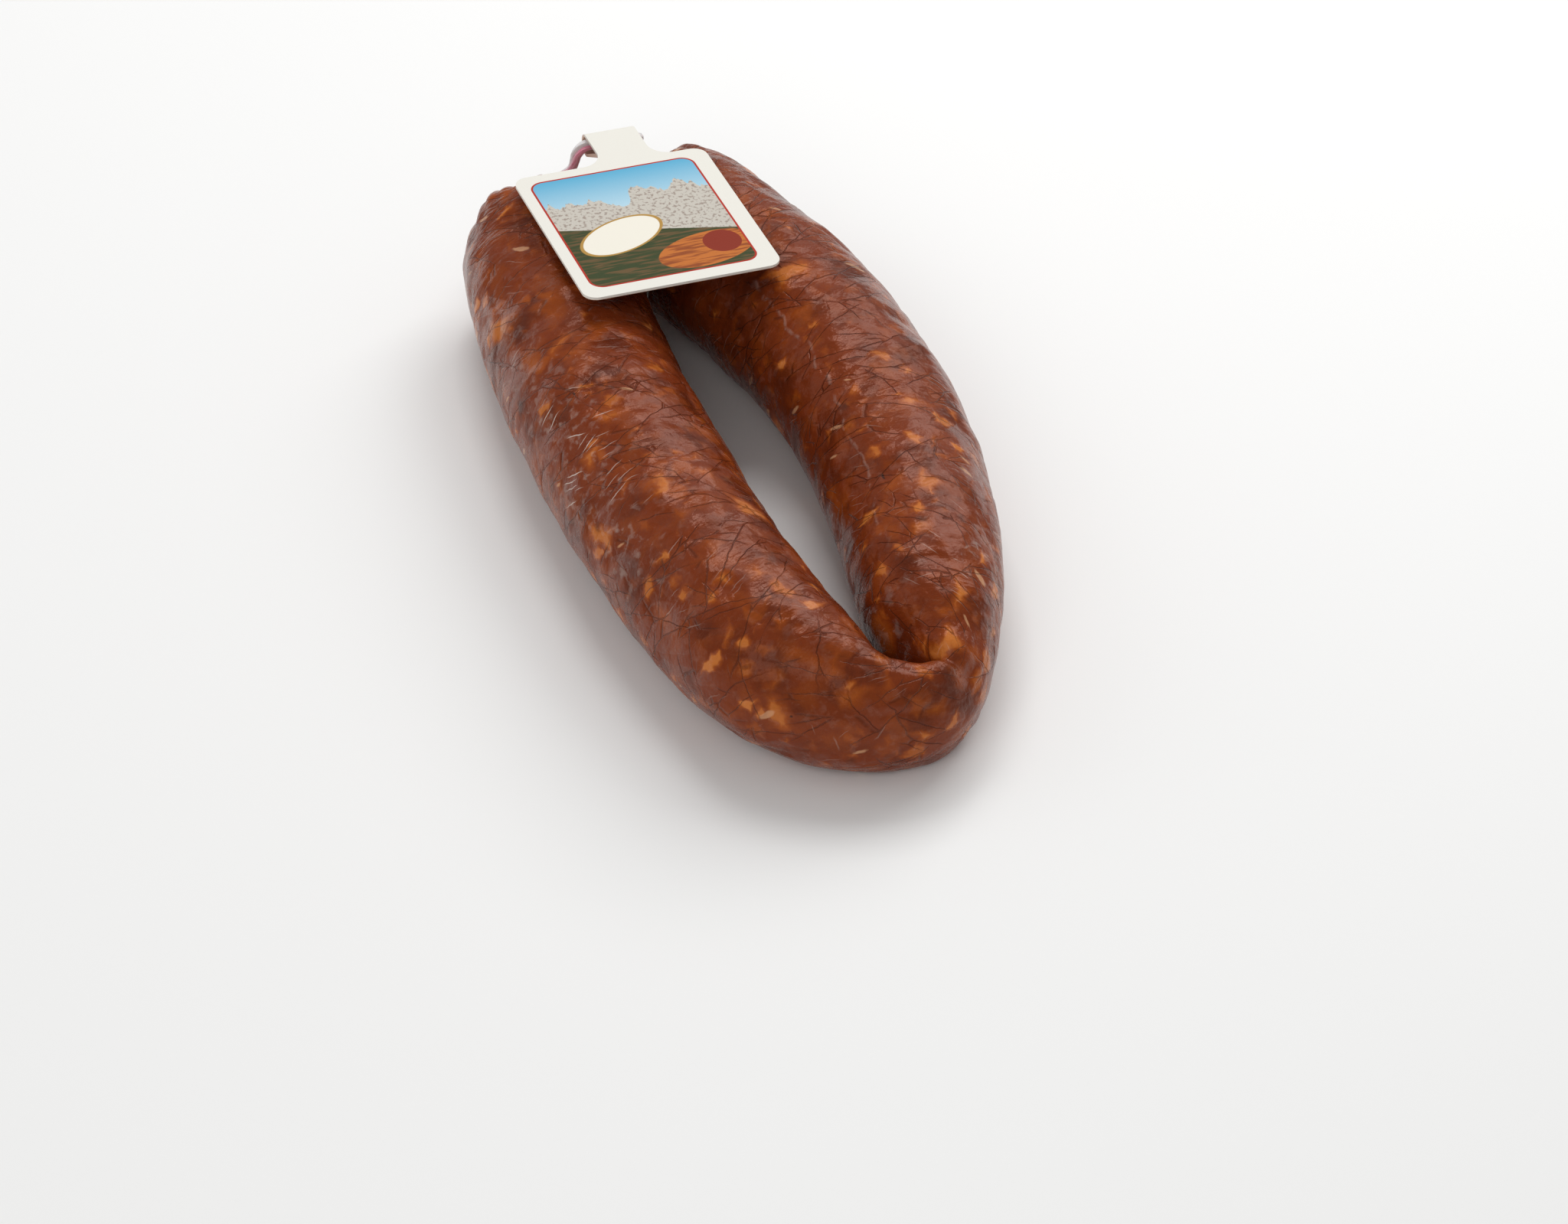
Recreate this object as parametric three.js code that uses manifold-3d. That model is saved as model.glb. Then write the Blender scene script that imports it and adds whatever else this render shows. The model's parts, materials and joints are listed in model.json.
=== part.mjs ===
// Horseshoe-shaped Italian cured sausage, lying flat, with its hanging tag on top.
//
// Millimetres, +Z up. The horseshoe lies in the XY plane: its two tied ends point to +Y and its
// sharp fold to -Y. The origin is under the middle of the sausage, on the surface it lies on.

import * as THREE from 'three';
import Module from 'manifold-3d';
import { mergeVertices } from 'three/addons/utils/BufferGeometryUtils.js';

const wasm = await Module();
wasm.setup();

// ---------------------------------------------------------------- driving dimensions

// Course of the sausage, measured along it from the middle of the fold.
const FOLD = { x: -4.2, y: -97.2, heading: -4, turn: 136.6, length: 37.5 };
const LEFT_ARM = { length: 155.2, bow: 259 };
const RIGHT_ARM = { length: 156.2, bow: 208 };

// Section along the course: place, half width, shift to the outside, half height.
const GIRTH = [
  [-168, 20.9, 0.7, 20.8],
  [-148, 20.8, 0, 20.8],
  [-95, 21.1, 0.1, 20.8],
  [-50, 19.5, 4.3, 20.2],
  [-25, 18.1, 5.2, 18.6],
  [-2, 8.6, 0.8, 14.9],
  [8, 7.6, 2.6, 13.6],
  [25, 14.7, -0.7, 17],
  [60, 18.5, -0.8, 18.6],
  [105, 20, 0, 19.9],
  [174, 20.9, 0, 20.6],
];
const CREASE = { depth: 3.4, reach: 1.7, at: 9 }; // the sharp line from the crotch over the fold
const SINK = 0.5; // how far the round underside is pressed flat
const SIDE_GAP = 0.6; // left between the two ends, which press flat on each other

// Each end: a blunt dome, a gathered neck for the clip, and the ruffled tail of the casing.
const DOME = { length: 20, bluntness: 3.3, pleats: 8, pleatDepth: 0.1 };
const NECK = { radius: 2.6, length: 8.6 };
const TAIL = { radius: 5.4, length: 8.4, ruffles: 8, ruffleDepth: 0.2, droop: 6 };

const CLIP = { width: 9, height: 12, strip: 1.3, depth: 5.5, corner: 2.6, offset: 1.2, lift: 1.6 };

const STRING = { diameter: 2.8, sides: 8, steps: 56 };

const TAG = {
  width: 48.2, height: 54.5, thickness: 0.7, corner: 3.4,
  strapWidth: 12.6, strapOffset: 5.3, strapFlat: 13.5, fillet: 5.2,
  loopRadius: 2.4, loopReturn: 9.5,
  centre: [-0.8, 50.8, 43.9], slopeAway: 3.6, slopeRight: 3.4, yaw: -3.4,
};

const SIDES = 40; // faces round the sausage
const COURSE_STEP = 0.5; // integration step of the centreline

// ---------------------------------------------------------------- materials

const casing = new THREE.MeshStandardMaterial({ color: 0x74341c, roughness: 0.42, metalness: 0 });
const aluminium = new THREE.MeshStandardMaterial({ color: 0xb4b8bc, roughness: 0.35, metalness: 1 });
const twine = new THREE.MeshStandardMaterial({ color: 0xe0a9ad, roughness: 0.9, metalness: 0 });
const card = new THREE.MeshStandardMaterial({ color: 0xf0efe6, roughness: 0.6, metalness: 0 });

// ---------------------------------------------------------------- centreline

const smoothstep = (t) => THREE.MathUtils.smoothstep(t, 0, 1);
const rad = THREE.MathUtils.degToRad;

// Direction of the centreline: it swings slowly along each bowed arm and sharply at the fold.
function headingAt(s) {
  const half = FOLD.length / 2;
  const turned = FOLD.turn * (smoothstep(s / FOLD.length + 0.5) - 0.5);
  const leftBow = Math.min(s + half, 0) / LEFT_ARM.bow;
  const rightBow = Math.max(s - half, 0) / RIGHT_ARM.bow;
  return rad(FOLD.heading + turned) + leftBow + rightBow;
}

// Point of the centreline at s, stepped out from the middle of the fold.
function pointAt(s) {
  const steps = Math.max(1, Math.ceil(Math.abs(s) / COURSE_STEP));
  const step = s / steps;
  const point = new THREE.Vector2(FOLD.x, FOLD.y);
  for (let i = 0; i < steps; i += 1) {
    const heading = headingAt((i + 0.5) * step);
    point.x += Math.cos(heading) * step;
    point.y += Math.sin(heading) * step;
  }
  return point;
}

const LEFT_END = -(FOLD.length / 2 + LEFT_ARM.length);
const RIGHT_END = FOLD.length / 2 + RIGHT_ARM.length;
const SEAM_X = (pointAt(LEFT_END).x + pointAt(RIGHT_END).x) / 2;

// How far s lies beyond the end of an arm, or 0 on the arms and the fold.
const beyond = (s) => Math.max(LEFT_END - s, s - RIGHT_END, 0);

// ---------------------------------------------------------------- section of the sausage

const girth = new THREE.CubicInterpolant(
  GIRTH.map(([place]) => place),
  GIRTH.flatMap(([, halfWidth, shift, halfHeight]) => [halfWidth, shift, halfHeight]),
  3,
);

function sectionAt(s) {
  const [halfWidth, shift, halfHeight] = girth.evaluate(THREE.MathUtils.clamp(s, LEFT_END, RIGHT_END));
  return { halfWidth, shift, halfHeight };
}

// Radius of the closing end at a distance past the arm, as a share of the full section.
function endShare(distance, full) {
  const neckShare = NECK.radius / full;
  if (distance <= DOME.length) {
    const t = distance / DOME.length;
    const round = (1 - t ** DOME.bluntness) ** (1 / DOME.bluntness);
    return neckShare + (1 - neckShare) * round;
  }
  const past = distance - DOME.length - NECK.length;
  if (past <= 0) return neckShare;
  const flare = Math.sin((Math.PI / 2) * Math.min(1, past / (TAIL.length * 0.55)));
  return neckShare + ((TAIL.radius - NECK.radius) / full) * flare;
}

// Folds of the casing round an end: shallow pleats on the dome, deep ruffles on the tail.
function pleatShare(distance, angle, phase) {
  const past = distance - DOME.length - NECK.length;
  if (past > 0) {
    const wave = Math.cos(TAIL.ruffles * angle + phase + 0.25 * past);
    return 1 + TAIL.ruffleDepth * smoothstep(past / 4) * wave;
  }
  const inDome = Math.min(distance, DOME.length) / DOME.length;
  const fade = 1 - smoothstep((distance - DOME.length + 1.5) / 1.5);
  return 1 + DOME.pleatDepth * inDome ** 3 * fade * Math.cos(DOME.pleats * angle + phase);
}

// The filling is uneven: low swellings a few centimetres long.
function swelling(s, angle) {
  const long = Math.sin(s / 8.7 + 1.3) * Math.cos(2 * angle + s / 31);
  const short = Math.sin(s / 4.9 + 3 * angle) * Math.cos(s / 12.5 - angle);
  return 0.28 * long + 0.2 * short;
}

// A crease runs from the crotch over the top and the underside of the fold.
function creaseAt(s, angle) {
  const towardInside = Math.abs(Math.cos(angle / 2)) ** 1.6;
  return CREASE.depth * towardInside * Math.exp(-(((s - CREASE.at) / CREASE.reach) ** 2));
}

// Where the arms meet, at the crotch and at the two ends, they press flat on each other.
function pressFlat(point, s) {
  const side = Math.sign(s);
  const nearFold = Math.abs(s) < LEFT_ARM.length / 2;
  const lean = nearFold ? rad(FOLD.heading) : 0;
  const seam = nearFold ? new THREE.Vector2(FOLD.x, FOLD.y) : new THREE.Vector2(SEAM_X, 0);
  const room = Math.min(SIDE_GAP / 2, Math.abs(s) / 10);
  const past = (point.x - seam.x) * Math.cos(lean) + (point.y - seam.y) * Math.sin(lean);
  const push = Math.max(0, room - side * past) * side;
  point.x += push * Math.cos(lean);
  point.y += push * Math.sin(lean);
}

// One ring of the skin at s: angle 0 faces the inside of the horseshoe, 90 degrees is up.
function ringAt(s) {
  const past = beyond(s);
  const { halfWidth, shift, halfHeight } = sectionAt(s);
  const share = endShare(past, halfHeight);
  const heading = headingAt(s);
  const centre = pointAt(s);
  const droop = TAIL.droop * smoothstep((past - DOME.length - NECK.length) / TAIL.length);
  const phase = s < 0 ? 0.4 : 2.1;
  const ring = [];
  for (let i = 0; i < SIDES; i += 1) {
    const angle = (2 * Math.PI * i) / SIDES;
    const pleat = past > 0 ? pleatShare(past, angle, phase) : 1;
    const swell = past > DOME.length ? 0 : swelling(s, angle) * share * Math.min(1, Math.abs(s) / 25);
    const relief = swell - creaseAt(s, angle);
    const across = (halfWidth * share + relief) * pleat * Math.cos(angle) - shift * share;
    const up = (halfHeight * share + relief) * pleat * Math.sin(angle);
    const point = new THREE.Vector3(centre.x, centre.y, halfHeight - SINK - droop + up);
    point.x -= Math.sin(heading) * across;
    point.y += Math.cos(heading) * across;
    pressFlat(point, s);
    point.z = Math.max(point.z, 0);
    ring.push(point);
  }
  return ring;
}

// Where the rings stand: close together on the ends and at the fold, wider apart on the arms.
function ringPlaces() {
  const end = DOME.length + NECK.length + TAIL.length;
  const places = [];
  const run = (from, to, count, shape = (t) => t) => {
    for (let i = 0; i < count; i += 1) places.push(from + (to - from) * shape(i / count));
  };
  const slowEnd = (t) => Math.sin((Math.PI / 2) * t);
  const slowStart = (t) => 1 - Math.cos((Math.PI / 2) * t);
  run(LEFT_END - end, LEFT_END - DOME.length - NECK.length, 5);
  run(LEFT_END - DOME.length - NECK.length, LEFT_END - DOME.length, 2);
  run(LEFT_END - DOME.length, LEFT_END, 8, slowStart);
  run(LEFT_END, -FOLD.length / 2, 26);
  run(-FOLD.length / 2, CREASE.at, 17, (t) => t * (1.35 - 0.35 * t));
  run(CREASE.at, FOLD.length / 2, 9, (t) => t * (0.65 + 0.35 * t));
  run(FOLD.length / 2, RIGHT_END, 27);
  run(RIGHT_END, RIGHT_END + DOME.length, 8, slowEnd);
  run(RIGHT_END + DOME.length, RIGHT_END + DOME.length + NECK.length, 2);
  run(RIGHT_END + DOME.length + NECK.length, RIGHT_END + end, 5);
  places.push(RIGHT_END + end);
  return places;
}

// Skin over a row of rings, closed by a fan to the middle of the first and the last ring.
function skinOver(rings) {
  const sides = rings[0].length;
  const positions = rings.flat().flatMap((p) => [p.x, p.y, p.z]);
  const indices = [];
  for (let r = 0; r < rings.length - 1; r += 1) {
    for (let i = 0; i < sides; i += 1) {
      const a = r * sides + i;
      const b = r * sides + ((i + 1) % sides);
      indices.push(a, b, a + sides, b, b + sides, a + sides);
    }
  }
  for (const [row, flip] of [[0, false], [rings.length - 1, true]]) {
    const hub = positions.length / 3;
    const middle = rings[row].reduce((sum, p) => sum.add(p), new THREE.Vector3()).divideScalar(sides);
    positions.push(middle.x, middle.y, middle.z);
    for (let i = 0; i < sides; i += 1) {
      const a = row * sides + i;
      const b = row * sides + ((i + 1) % sides);
      if (flip) indices.push(hub, a, b);
      else indices.push(hub, b, a);
    }
  }
  const geometry = new THREE.BufferGeometry();
  geometry.setAttribute('position', new THREE.Float32BufferAttribute(positions, 3));
  geometry.setIndex(indices);
  return geometry;
}

// ---------------------------------------------------------------- small pieces

function roundedRectangle(path, width, height, radius) {
  const w = width / 2;
  const h = height / 2;
  path.moveTo(-w + radius, -h);
  path.lineTo(w - radius, -h);
  path.absarc(w - radius, -h + radius, radius, -Math.PI / 2, 0);
  path.lineTo(w, h - radius);
  path.absarc(w - radius, h - radius, radius, 0, Math.PI / 2);
  path.lineTo(-w + radius, h);
  path.absarc(-w + radius, h - radius, radius, Math.PI / 2, Math.PI);
  path.lineTo(-w, -h + radius);
  path.absarc(-w + radius, -h + radius, radius, Math.PI, Math.PI * 1.5);
  return path;
}

// A clip: a strip of aluminium closed round the neck and the string, seen along the neck.
function clipGeometry() {
  const outline = roundedRectangle(new THREE.Shape(), CLIP.width, CLIP.height, CLIP.corner);
  const inner = CLIP.corner - CLIP.strip;
  const hole = roundedRectangle(new THREE.Path(), CLIP.width - 2 * CLIP.strip, CLIP.height - 2 * CLIP.strip, inner);
  outline.holes.push(hole);
  return new THREE.ExtrudeGeometry(outline, { depth: CLIP.depth, bevelEnabled: false, curveSegments: 4 });
}

// Puts a clip on the neck of an end; its opening looks along the neck.
function placeClip(mesh, end, outward) {
  const s = end + outward * (DOME.length + CLIP.offset);
  const point = pointAt(s);
  const direction = headingAt(s) + (outward < 0 ? Math.PI : 0);
  const along = new THREE.Vector3(Math.cos(direction), Math.sin(direction), 0);
  const across = new THREE.Vector3(-along.y, along.x, 0);
  mesh.setRotationFromMatrix(new THREE.Matrix4().makeBasis(across, new THREE.Vector3(0, 0, 1), along));
  mesh.position.set(point.x, point.y, sectionAt(end).halfHeight - SINK + CLIP.lift);
}

// The string's course: out of the left clip, up through the roll of the tag's strap and down again.
const STRING_ROUTE = [
  [-10.3, 89.5, 24.75],
  [-9.4, 91.6, 24.75],
  [-8.7, 93.3, 24.8],
  [-8, 95, 25.4],
  [-6.9, 96.2, 26.4],
  [-5.3, 96.5, 27.2],
  [-3.7, 95.9, 28.2],
  [-2.6, 94.6, 29.8],
  [-2.1, 93.4, 31.9],
  [-1.9, 92.5, 34.2],
  [-1.6, 91.7, 36.6],
  [0, 91.3, 38.3],
  [3.5, 91.1, 38.5],
  [6.7, 90.9, 38.3],
  [10.4, 90.7, 38.1],
  [13.5, 90.6, 37.7],
  [14.4, 91.9, 36.2],
  [14, 93.5, 33.6],
  [13.7, 94.4, 30.7],
  [12.6, 94.6, 28],
  [11.3, 93.6, 26],
  [10.9, 92, 25],
  [11.2, 90.5, 24.7],
  [12.1, 88.5, 24.6],
  [13, 86.5, 24.6],
];

function stringGeometry() {
  const course = new THREE.CatmullRomCurve3(STRING_ROUTE.map((p) => new THREE.Vector3(...p)));
  const section = new THREE.Shape();
  for (let i = 0; i < STRING.sides; i += 1) {
    const angle = (2 * Math.PI * i) / STRING.sides;
    const x = (STRING.diameter / 2) * Math.cos(angle);
    const y = (STRING.diameter / 2) * Math.sin(angle);
    if (i === 0) section.moveTo(x, y);
    else section.lineTo(x, y);
  }
  return new THREE.ExtrudeGeometry(section, { steps: STRING.steps, extrudePath: course, bevelEnabled: false });
}

// ---------------------------------------------------------------- tag

// Flat part of the tag: a rounded card with a strap that leaves its far edge in two fillets.
function tagCard() {
  const w = TAG.width / 2;
  const h = TAG.height / 2;
  const r = TAG.corner;
  const f = TAG.fillet;
  const left = TAG.strapOffset - TAG.strapWidth / 2;
  const right = TAG.strapOffset + TAG.strapWidth / 2;
  const card2d = new THREE.Shape();
  card2d.moveTo(-w + r, -h);
  card2d.lineTo(w - r, -h);
  card2d.absarc(w - r, -h + r, r, -Math.PI / 2, 0);
  card2d.lineTo(w, h - r);
  card2d.absarc(w - r, h - r, r, 0, Math.PI / 2);
  card2d.absarc(right + f, h + f, f, -Math.PI / 2, -Math.PI, true);
  card2d.lineTo(right, h + TAG.strapFlat);
  card2d.lineTo(left, h + TAG.strapFlat);
  card2d.absarc(left - f, h + f, f, 0, -Math.PI / 2, true);
  card2d.absarc(-w + r, h - r, r, Math.PI / 2, Math.PI);
  card2d.absarc(-w + r, -h + r, r, Math.PI, Math.PI * 1.5);
  const geometry = new THREE.ExtrudeGeometry(card2d, { depth: TAG.thickness, bevelEnabled: false, curveSegments: 5 });
  return geometry.translate(0, 0, -TAG.thickness);
}

// The strap's end turns down round the string and comes back to the underside of the strap.
function tagLoop() {
  const outer = TAG.loopRadius + TAG.thickness / 2;
  const inner = TAG.loopRadius - TAG.thickness / 2;
  const reach = Math.hypot(TAG.loopReturn, inner);
  const tip = -Math.asin(inner / reach) - Math.asin(outer / reach);
  const last = tip - Math.PI / 2;
  const strip = new THREE.Shape();
  strip.moveTo(-TAG.loopReturn - 1, outer);
  strip.absarc(0, 0, outer, Math.PI / 2, last, true);
  strip.lineTo(-TAG.loopReturn, inner);
  strip.lineTo(-TAG.loopReturn + 2, inner);
  strip.absarc(0, 0, inner, last, Math.PI / 2, false);
  strip.lineTo(-TAG.loopReturn - 1, inner);
  strip.closePath();
  const geometry = new THREE.ExtrudeGeometry(strip, {
    depth: TAG.strapWidth, bevelEnabled: false, curveSegments: 14,
  });
  const basis = new THREE.Matrix4().makeBasis(
    new THREE.Vector3(0, 1, 0), new THREE.Vector3(0, 0, 1), new THREE.Vector3(1, 0, 0),
  );
  const left = TAG.strapOffset - TAG.strapWidth / 2;
  return geometry.applyMatrix4(basis).translate(left, TAG.height / 2 + TAG.strapFlat, -outer);
}

function toManifold(geometry) {
  const bare = new THREE.BufferGeometry();
  bare.setAttribute('position', geometry.getAttribute('position'));
  if (geometry.index) bare.setIndex(geometry.index);
  const merged = mergeVertices(bare, 1e-4);
  return new wasm.Manifold(new wasm.Mesh({
    numProp: 3,
    vertProperties: Float32Array.from(merged.getAttribute('position').array),
    triVerts: Uint32Array.from(merged.index.array),
  }));
}

function fromManifold(solid) {
  const mesh = solid.getMesh();
  const geometry = new THREE.BufferGeometry();
  geometry.setAttribute('position', new THREE.BufferAttribute(mesh.vertProperties, 3));
  geometry.setIndex(new THREE.BufferAttribute(mesh.triVerts, 1));
  return geometry;
}

const tagGeometry = () => fromManifold(toManifold(tagCard()).add(toManifold(tagLoop())));

// ---------------------------------------------------------------- assembly

function named(name, geometry, material) {
  const mesh = new THREE.Mesh(geometry, material);
  mesh.name = name;
  return mesh;
}

const sausage = named('sausage', skinOver(ringPlaces().map(ringAt)), casing);
const clipLeft = named('clip_left', clipGeometry(), aluminium);
const clipRight = named('clip_right', clipGeometry(), aluminium);
placeClip(clipLeft, LEFT_END, -1);
placeClip(clipRight, RIGHT_END, 1);
const string = named('string', stringGeometry(), twine);
const tag = named('tag', tagGeometry(), card);
tag.position.set(...TAG.centre);
tag.rotation.set(-rad(TAG.slopeAway), rad(TAG.slopeRight), rad(TAG.yaw));

const part = new THREE.Group();
part.add(sausage, clipLeft, clipRight, string, tag);

export default part;
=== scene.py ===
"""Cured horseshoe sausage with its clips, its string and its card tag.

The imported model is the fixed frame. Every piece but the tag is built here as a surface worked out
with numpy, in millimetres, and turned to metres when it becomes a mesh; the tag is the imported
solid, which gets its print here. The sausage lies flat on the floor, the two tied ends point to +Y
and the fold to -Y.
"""

from __future__ import annotations

import json
import logging
import math
from collections.abc import Callable
from dataclasses import dataclass, field
from enum import Enum
from functools import partial

import bpy
import numpy as np
from mathutils import Matrix, Vector

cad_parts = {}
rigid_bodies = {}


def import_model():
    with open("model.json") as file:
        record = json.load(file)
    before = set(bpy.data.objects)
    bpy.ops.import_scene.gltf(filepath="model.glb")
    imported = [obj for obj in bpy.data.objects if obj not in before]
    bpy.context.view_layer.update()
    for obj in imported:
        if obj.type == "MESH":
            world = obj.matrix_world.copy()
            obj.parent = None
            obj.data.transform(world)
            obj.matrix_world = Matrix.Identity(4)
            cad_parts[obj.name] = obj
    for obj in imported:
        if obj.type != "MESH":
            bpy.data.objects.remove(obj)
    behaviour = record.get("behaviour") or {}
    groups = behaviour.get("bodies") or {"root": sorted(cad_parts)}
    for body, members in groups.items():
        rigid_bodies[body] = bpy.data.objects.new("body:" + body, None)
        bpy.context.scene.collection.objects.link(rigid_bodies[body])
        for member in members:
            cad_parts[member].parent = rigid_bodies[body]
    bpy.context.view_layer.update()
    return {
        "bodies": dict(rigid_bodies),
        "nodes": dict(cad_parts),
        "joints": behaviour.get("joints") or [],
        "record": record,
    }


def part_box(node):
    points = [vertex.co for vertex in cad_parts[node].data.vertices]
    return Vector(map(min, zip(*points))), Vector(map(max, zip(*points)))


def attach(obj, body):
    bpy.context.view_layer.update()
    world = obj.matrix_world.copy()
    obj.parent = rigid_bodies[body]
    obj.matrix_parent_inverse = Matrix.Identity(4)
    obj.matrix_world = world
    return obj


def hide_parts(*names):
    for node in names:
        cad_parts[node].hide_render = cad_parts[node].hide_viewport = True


LOG = logging.getLogger("horseshoe_sausage")
MM = 0.001
# settings that many nodes share; STRETCHED turns coordinates first and then divides them by the scale
SMOOTH = {"interpolation_type": "SMOOTHSTEP"}
TONES = {"data_type": "RGBA"}
FLAT_NOISE = {"noise_dimensions": "2D"}
FLAT_CELLS = {"voronoi_dimensions": "2D"}
STRETCHED = {"vector_type": "TEXTURE"}

Node = bpy.types.Node
Adder = Callable[..., Node]
Layer = tuple[Node, str]
Span = tuple[float, float]


# ---------------------------------------------------------------- small shared tools


def linear(colour: str) -> tuple[float, float, float, float]:
    """Turn an sRGB hex colour into the linear RGBA that a shader socket takes.

    Args:
        colour: six hex digits with a leading #.

    Returns:
        Linear red, green, blue and an alpha of 1.
    """
    parts = [int(colour[i : i + 2], 16) / 255 for i in (1, 3, 5)]
    tones = [c / 12.92 if c <= 0.04045 else ((c + 0.055) / 1.055) ** 2.4 for c in parts]
    return (*tones, 1.0)


def smoothstep(value: np.ndarray | float) -> np.ndarray:
    """Ease from 0 to 1: three times the square less twice the cube of the clipped value."""
    clipped = np.clip(value, 0.0, 1.0)
    return clipped * clipped * (3.0 - 2.0 * clipped)


def add_node(
    tree: bpy.types.NodeTree, kind: str, *values: object, named: dict | None = None, **settings: object
) -> Node:
    """Add one node with its settings and its links.

    Args:
        tree: the node tree that gets the node.
        kind: the node's type without the leading ShaderNode, then its operation, if it has one.
        values: what goes into the node's live inputs, in their order: a value, a socket, or a node
            whose first live output is used.
        named: the same for inputs given by their names.
        settings: attributes of the node, set before the inputs.

    Returns:
        The new node.
    """
    kind, _, operation = kind.partition(" ")
    node = tree.nodes.new("ShaderNode" + kind)
    if operation:
        node.operation = operation
    for key, value in settings.items():
        setattr(node, key, value)
    live = [socket for socket in node.inputs if socket.enabled]
    pairs = [*zip(live, values), *((node.inputs[name], value) for name, value in (named or {}).items())]
    for socket, value in pairs:
        if isinstance(value, Node):
            value = next(output for output in value.outputs if output.enabled)
        if isinstance(value, bpy.types.NodeSocket):
            tree.links.new(value, socket)
        else:
            socket.default_value = value
    return node


def add_object(name: str, data: bpy.types.ID) -> bpy.types.Object:
    """Make an object of a mesh, a camera or a light, and link it to the scene.

    Args:
        name: the object's name.
        data: what it shows.

    Returns:
        The new object.
    """
    thing = bpy.data.objects.new(name, data)
    bpy.context.collection.objects.link(thing)
    return thing


def grid_object(
    name: str, rows: np.ndarray, uv: np.ndarray, material: bpy.types.Material, band: bool = False
) -> bpy.types.Object:
    """Make a closed object from a grid whose rows are closed rings.

    Quad (r, c) joins the points c and c + 1 of the rings r and r + 1. In a band the last ring joins
    the first; otherwise those two are each closed by a fan of triangles to the ring's middle.

    Args:
        name: the piece's name.
        rows: points in millimetres, shaped rings x points x 3, turning so that faces look outwards.
        uv: surface coordinates in millimetres, with one more point a ring, and in a band one more ring.
        material: the piece's material.
        band: whether the last ring joins the first.

    Returns:
        The new object, linked to the scene.
    """
    rings, sides = rows.shape[:2]
    ring, side = np.divmod(np.arange((rings if band else rings - 1) * sides), sides)
    start, beyond, after = ring * sides, (ring + 1) % rings * sides, (side + 1) % sides
    faces = [np.stack([start + side, start + after, beyond + after, beyond + side], axis=1)]
    around = (ring, side), (ring, side + 1), (ring + 1, side + 1), (ring + 1, side)
    face_uv = [np.stack([uv[corner] for corner in around], axis=1)]
    vertices = rows.reshape(-1, 3)
    if not band:
        vertices = np.concatenate([vertices, rows[[0, -1]].mean(axis=1)])
        each = np.arange(sides)
        nxt = (each + 1) % sides
        last, hub = (rings - 1) * sides, rings * sides
        faces.append(np.stack([np.full(sides, hub), nxt, each], axis=1))
        faces.append(np.stack([np.full(sides, hub + 1), last + each, last + nxt], axis=1))
        face_uv.append(np.stack([(uv[0, :-1] + uv[0, 1:]) / 2, uv[0, 1:], uv[0, :-1]], axis=1))
        face_uv.append(np.stack([(uv[-1, :-1] + uv[-1, 1:]) / 2, uv[-1, :-1], uv[-1, 1:]], axis=1))
    corners = np.concatenate([part.ravel() for part in faces])
    sizes = np.concatenate([np.full(len(part), part.shape[1]) for part in faces])

    mesh = bpy.data.meshes.new(name)
    mesh.vertices.add(len(vertices))
    mesh.vertices.foreach_set("co", (vertices * MM).ravel())
    mesh.loops.add(len(corners))
    mesh.loops.foreach_set("vertex_index", corners)
    mesh.polygons.add(len(sizes))
    mesh.polygons.foreach_set("loop_start", np.concatenate([[0], np.cumsum(sizes)[:-1]]))
    mesh.polygons.foreach_set("use_smooth", np.ones(len(sizes), dtype=bool))
    layer = mesh.uv_layers.new(name="surface")
    layer.data.foreach_set("uv", np.concatenate([part.ravel() for part in face_uv]))
    mesh.update(calc_edges=True)
    mesh.validate()
    mesh.materials.append(material)
    return add_object(name, mesh)


def paint(piece: bpy.types.Object, name: str, values: np.ndarray) -> None:
    """Store one number a point of a capped grid, for a material to read.

    Args:
        piece: an object from grid_object.
        name: the attribute's name.
        values: numbers shaped rings x points.
    """
    both = np.concatenate([values.ravel(), [values[0].mean(), values[-1].mean()]])
    layer = piece.data.attributes.new(name, "FLOAT", "POINT")
    layer.data.foreach_set("value", both.astype(np.float32))


@dataclass(frozen=True)
class Unevenness:
    """Smooth random relief: random numbers on a cubic lattice, eased between its corners."""

    seed: int
    period: int = 48

    def at(self, places: np.ndarray, size: float) -> np.ndarray:
        """Relief at some places.

        Args:
            places: points in millimetres, with the last axis of length 3.
            size: the lattice's cell in millimetres, about half a lump and its gap.

        Returns:
            Numbers from -1 to 1, shaped as places without its last axis.
        """
        table = np.random.default_rng(self.seed).uniform(-1, 1, (self.period,) * 3)
        scaled = places / size
        cell = np.floor(scaled).astype(int)
        ease = smoothstep(scaled - cell)
        total = np.zeros(places.shape[:-1])
        for corner in np.ndindex(2, 2, 2):
            index = tuple((cell[..., k] + corner[k]) % self.period for k in range(3))
            weight = np.ones(places.shape[:-1])
            for k in range(3):
                weight = weight * (ease[..., k] if corner[k] else 1 - ease[..., k])
            total += table[index] * weight
        return total

    def creases(self, places: np.ndarray, size: float, sharpness: float) -> np.ndarray:
        """Narrow lines where the relief passes zero: one less its size, raised to a power."""
        return (1 - np.abs(self.at(places, size))) ** sharpness


# ---------------------------------------------------------------- the sausage's course


class Side(Enum):
    """The horseshoe's two arms, by the sign of the course on them."""

    LEFT = -1
    RIGHT = 1


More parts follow.
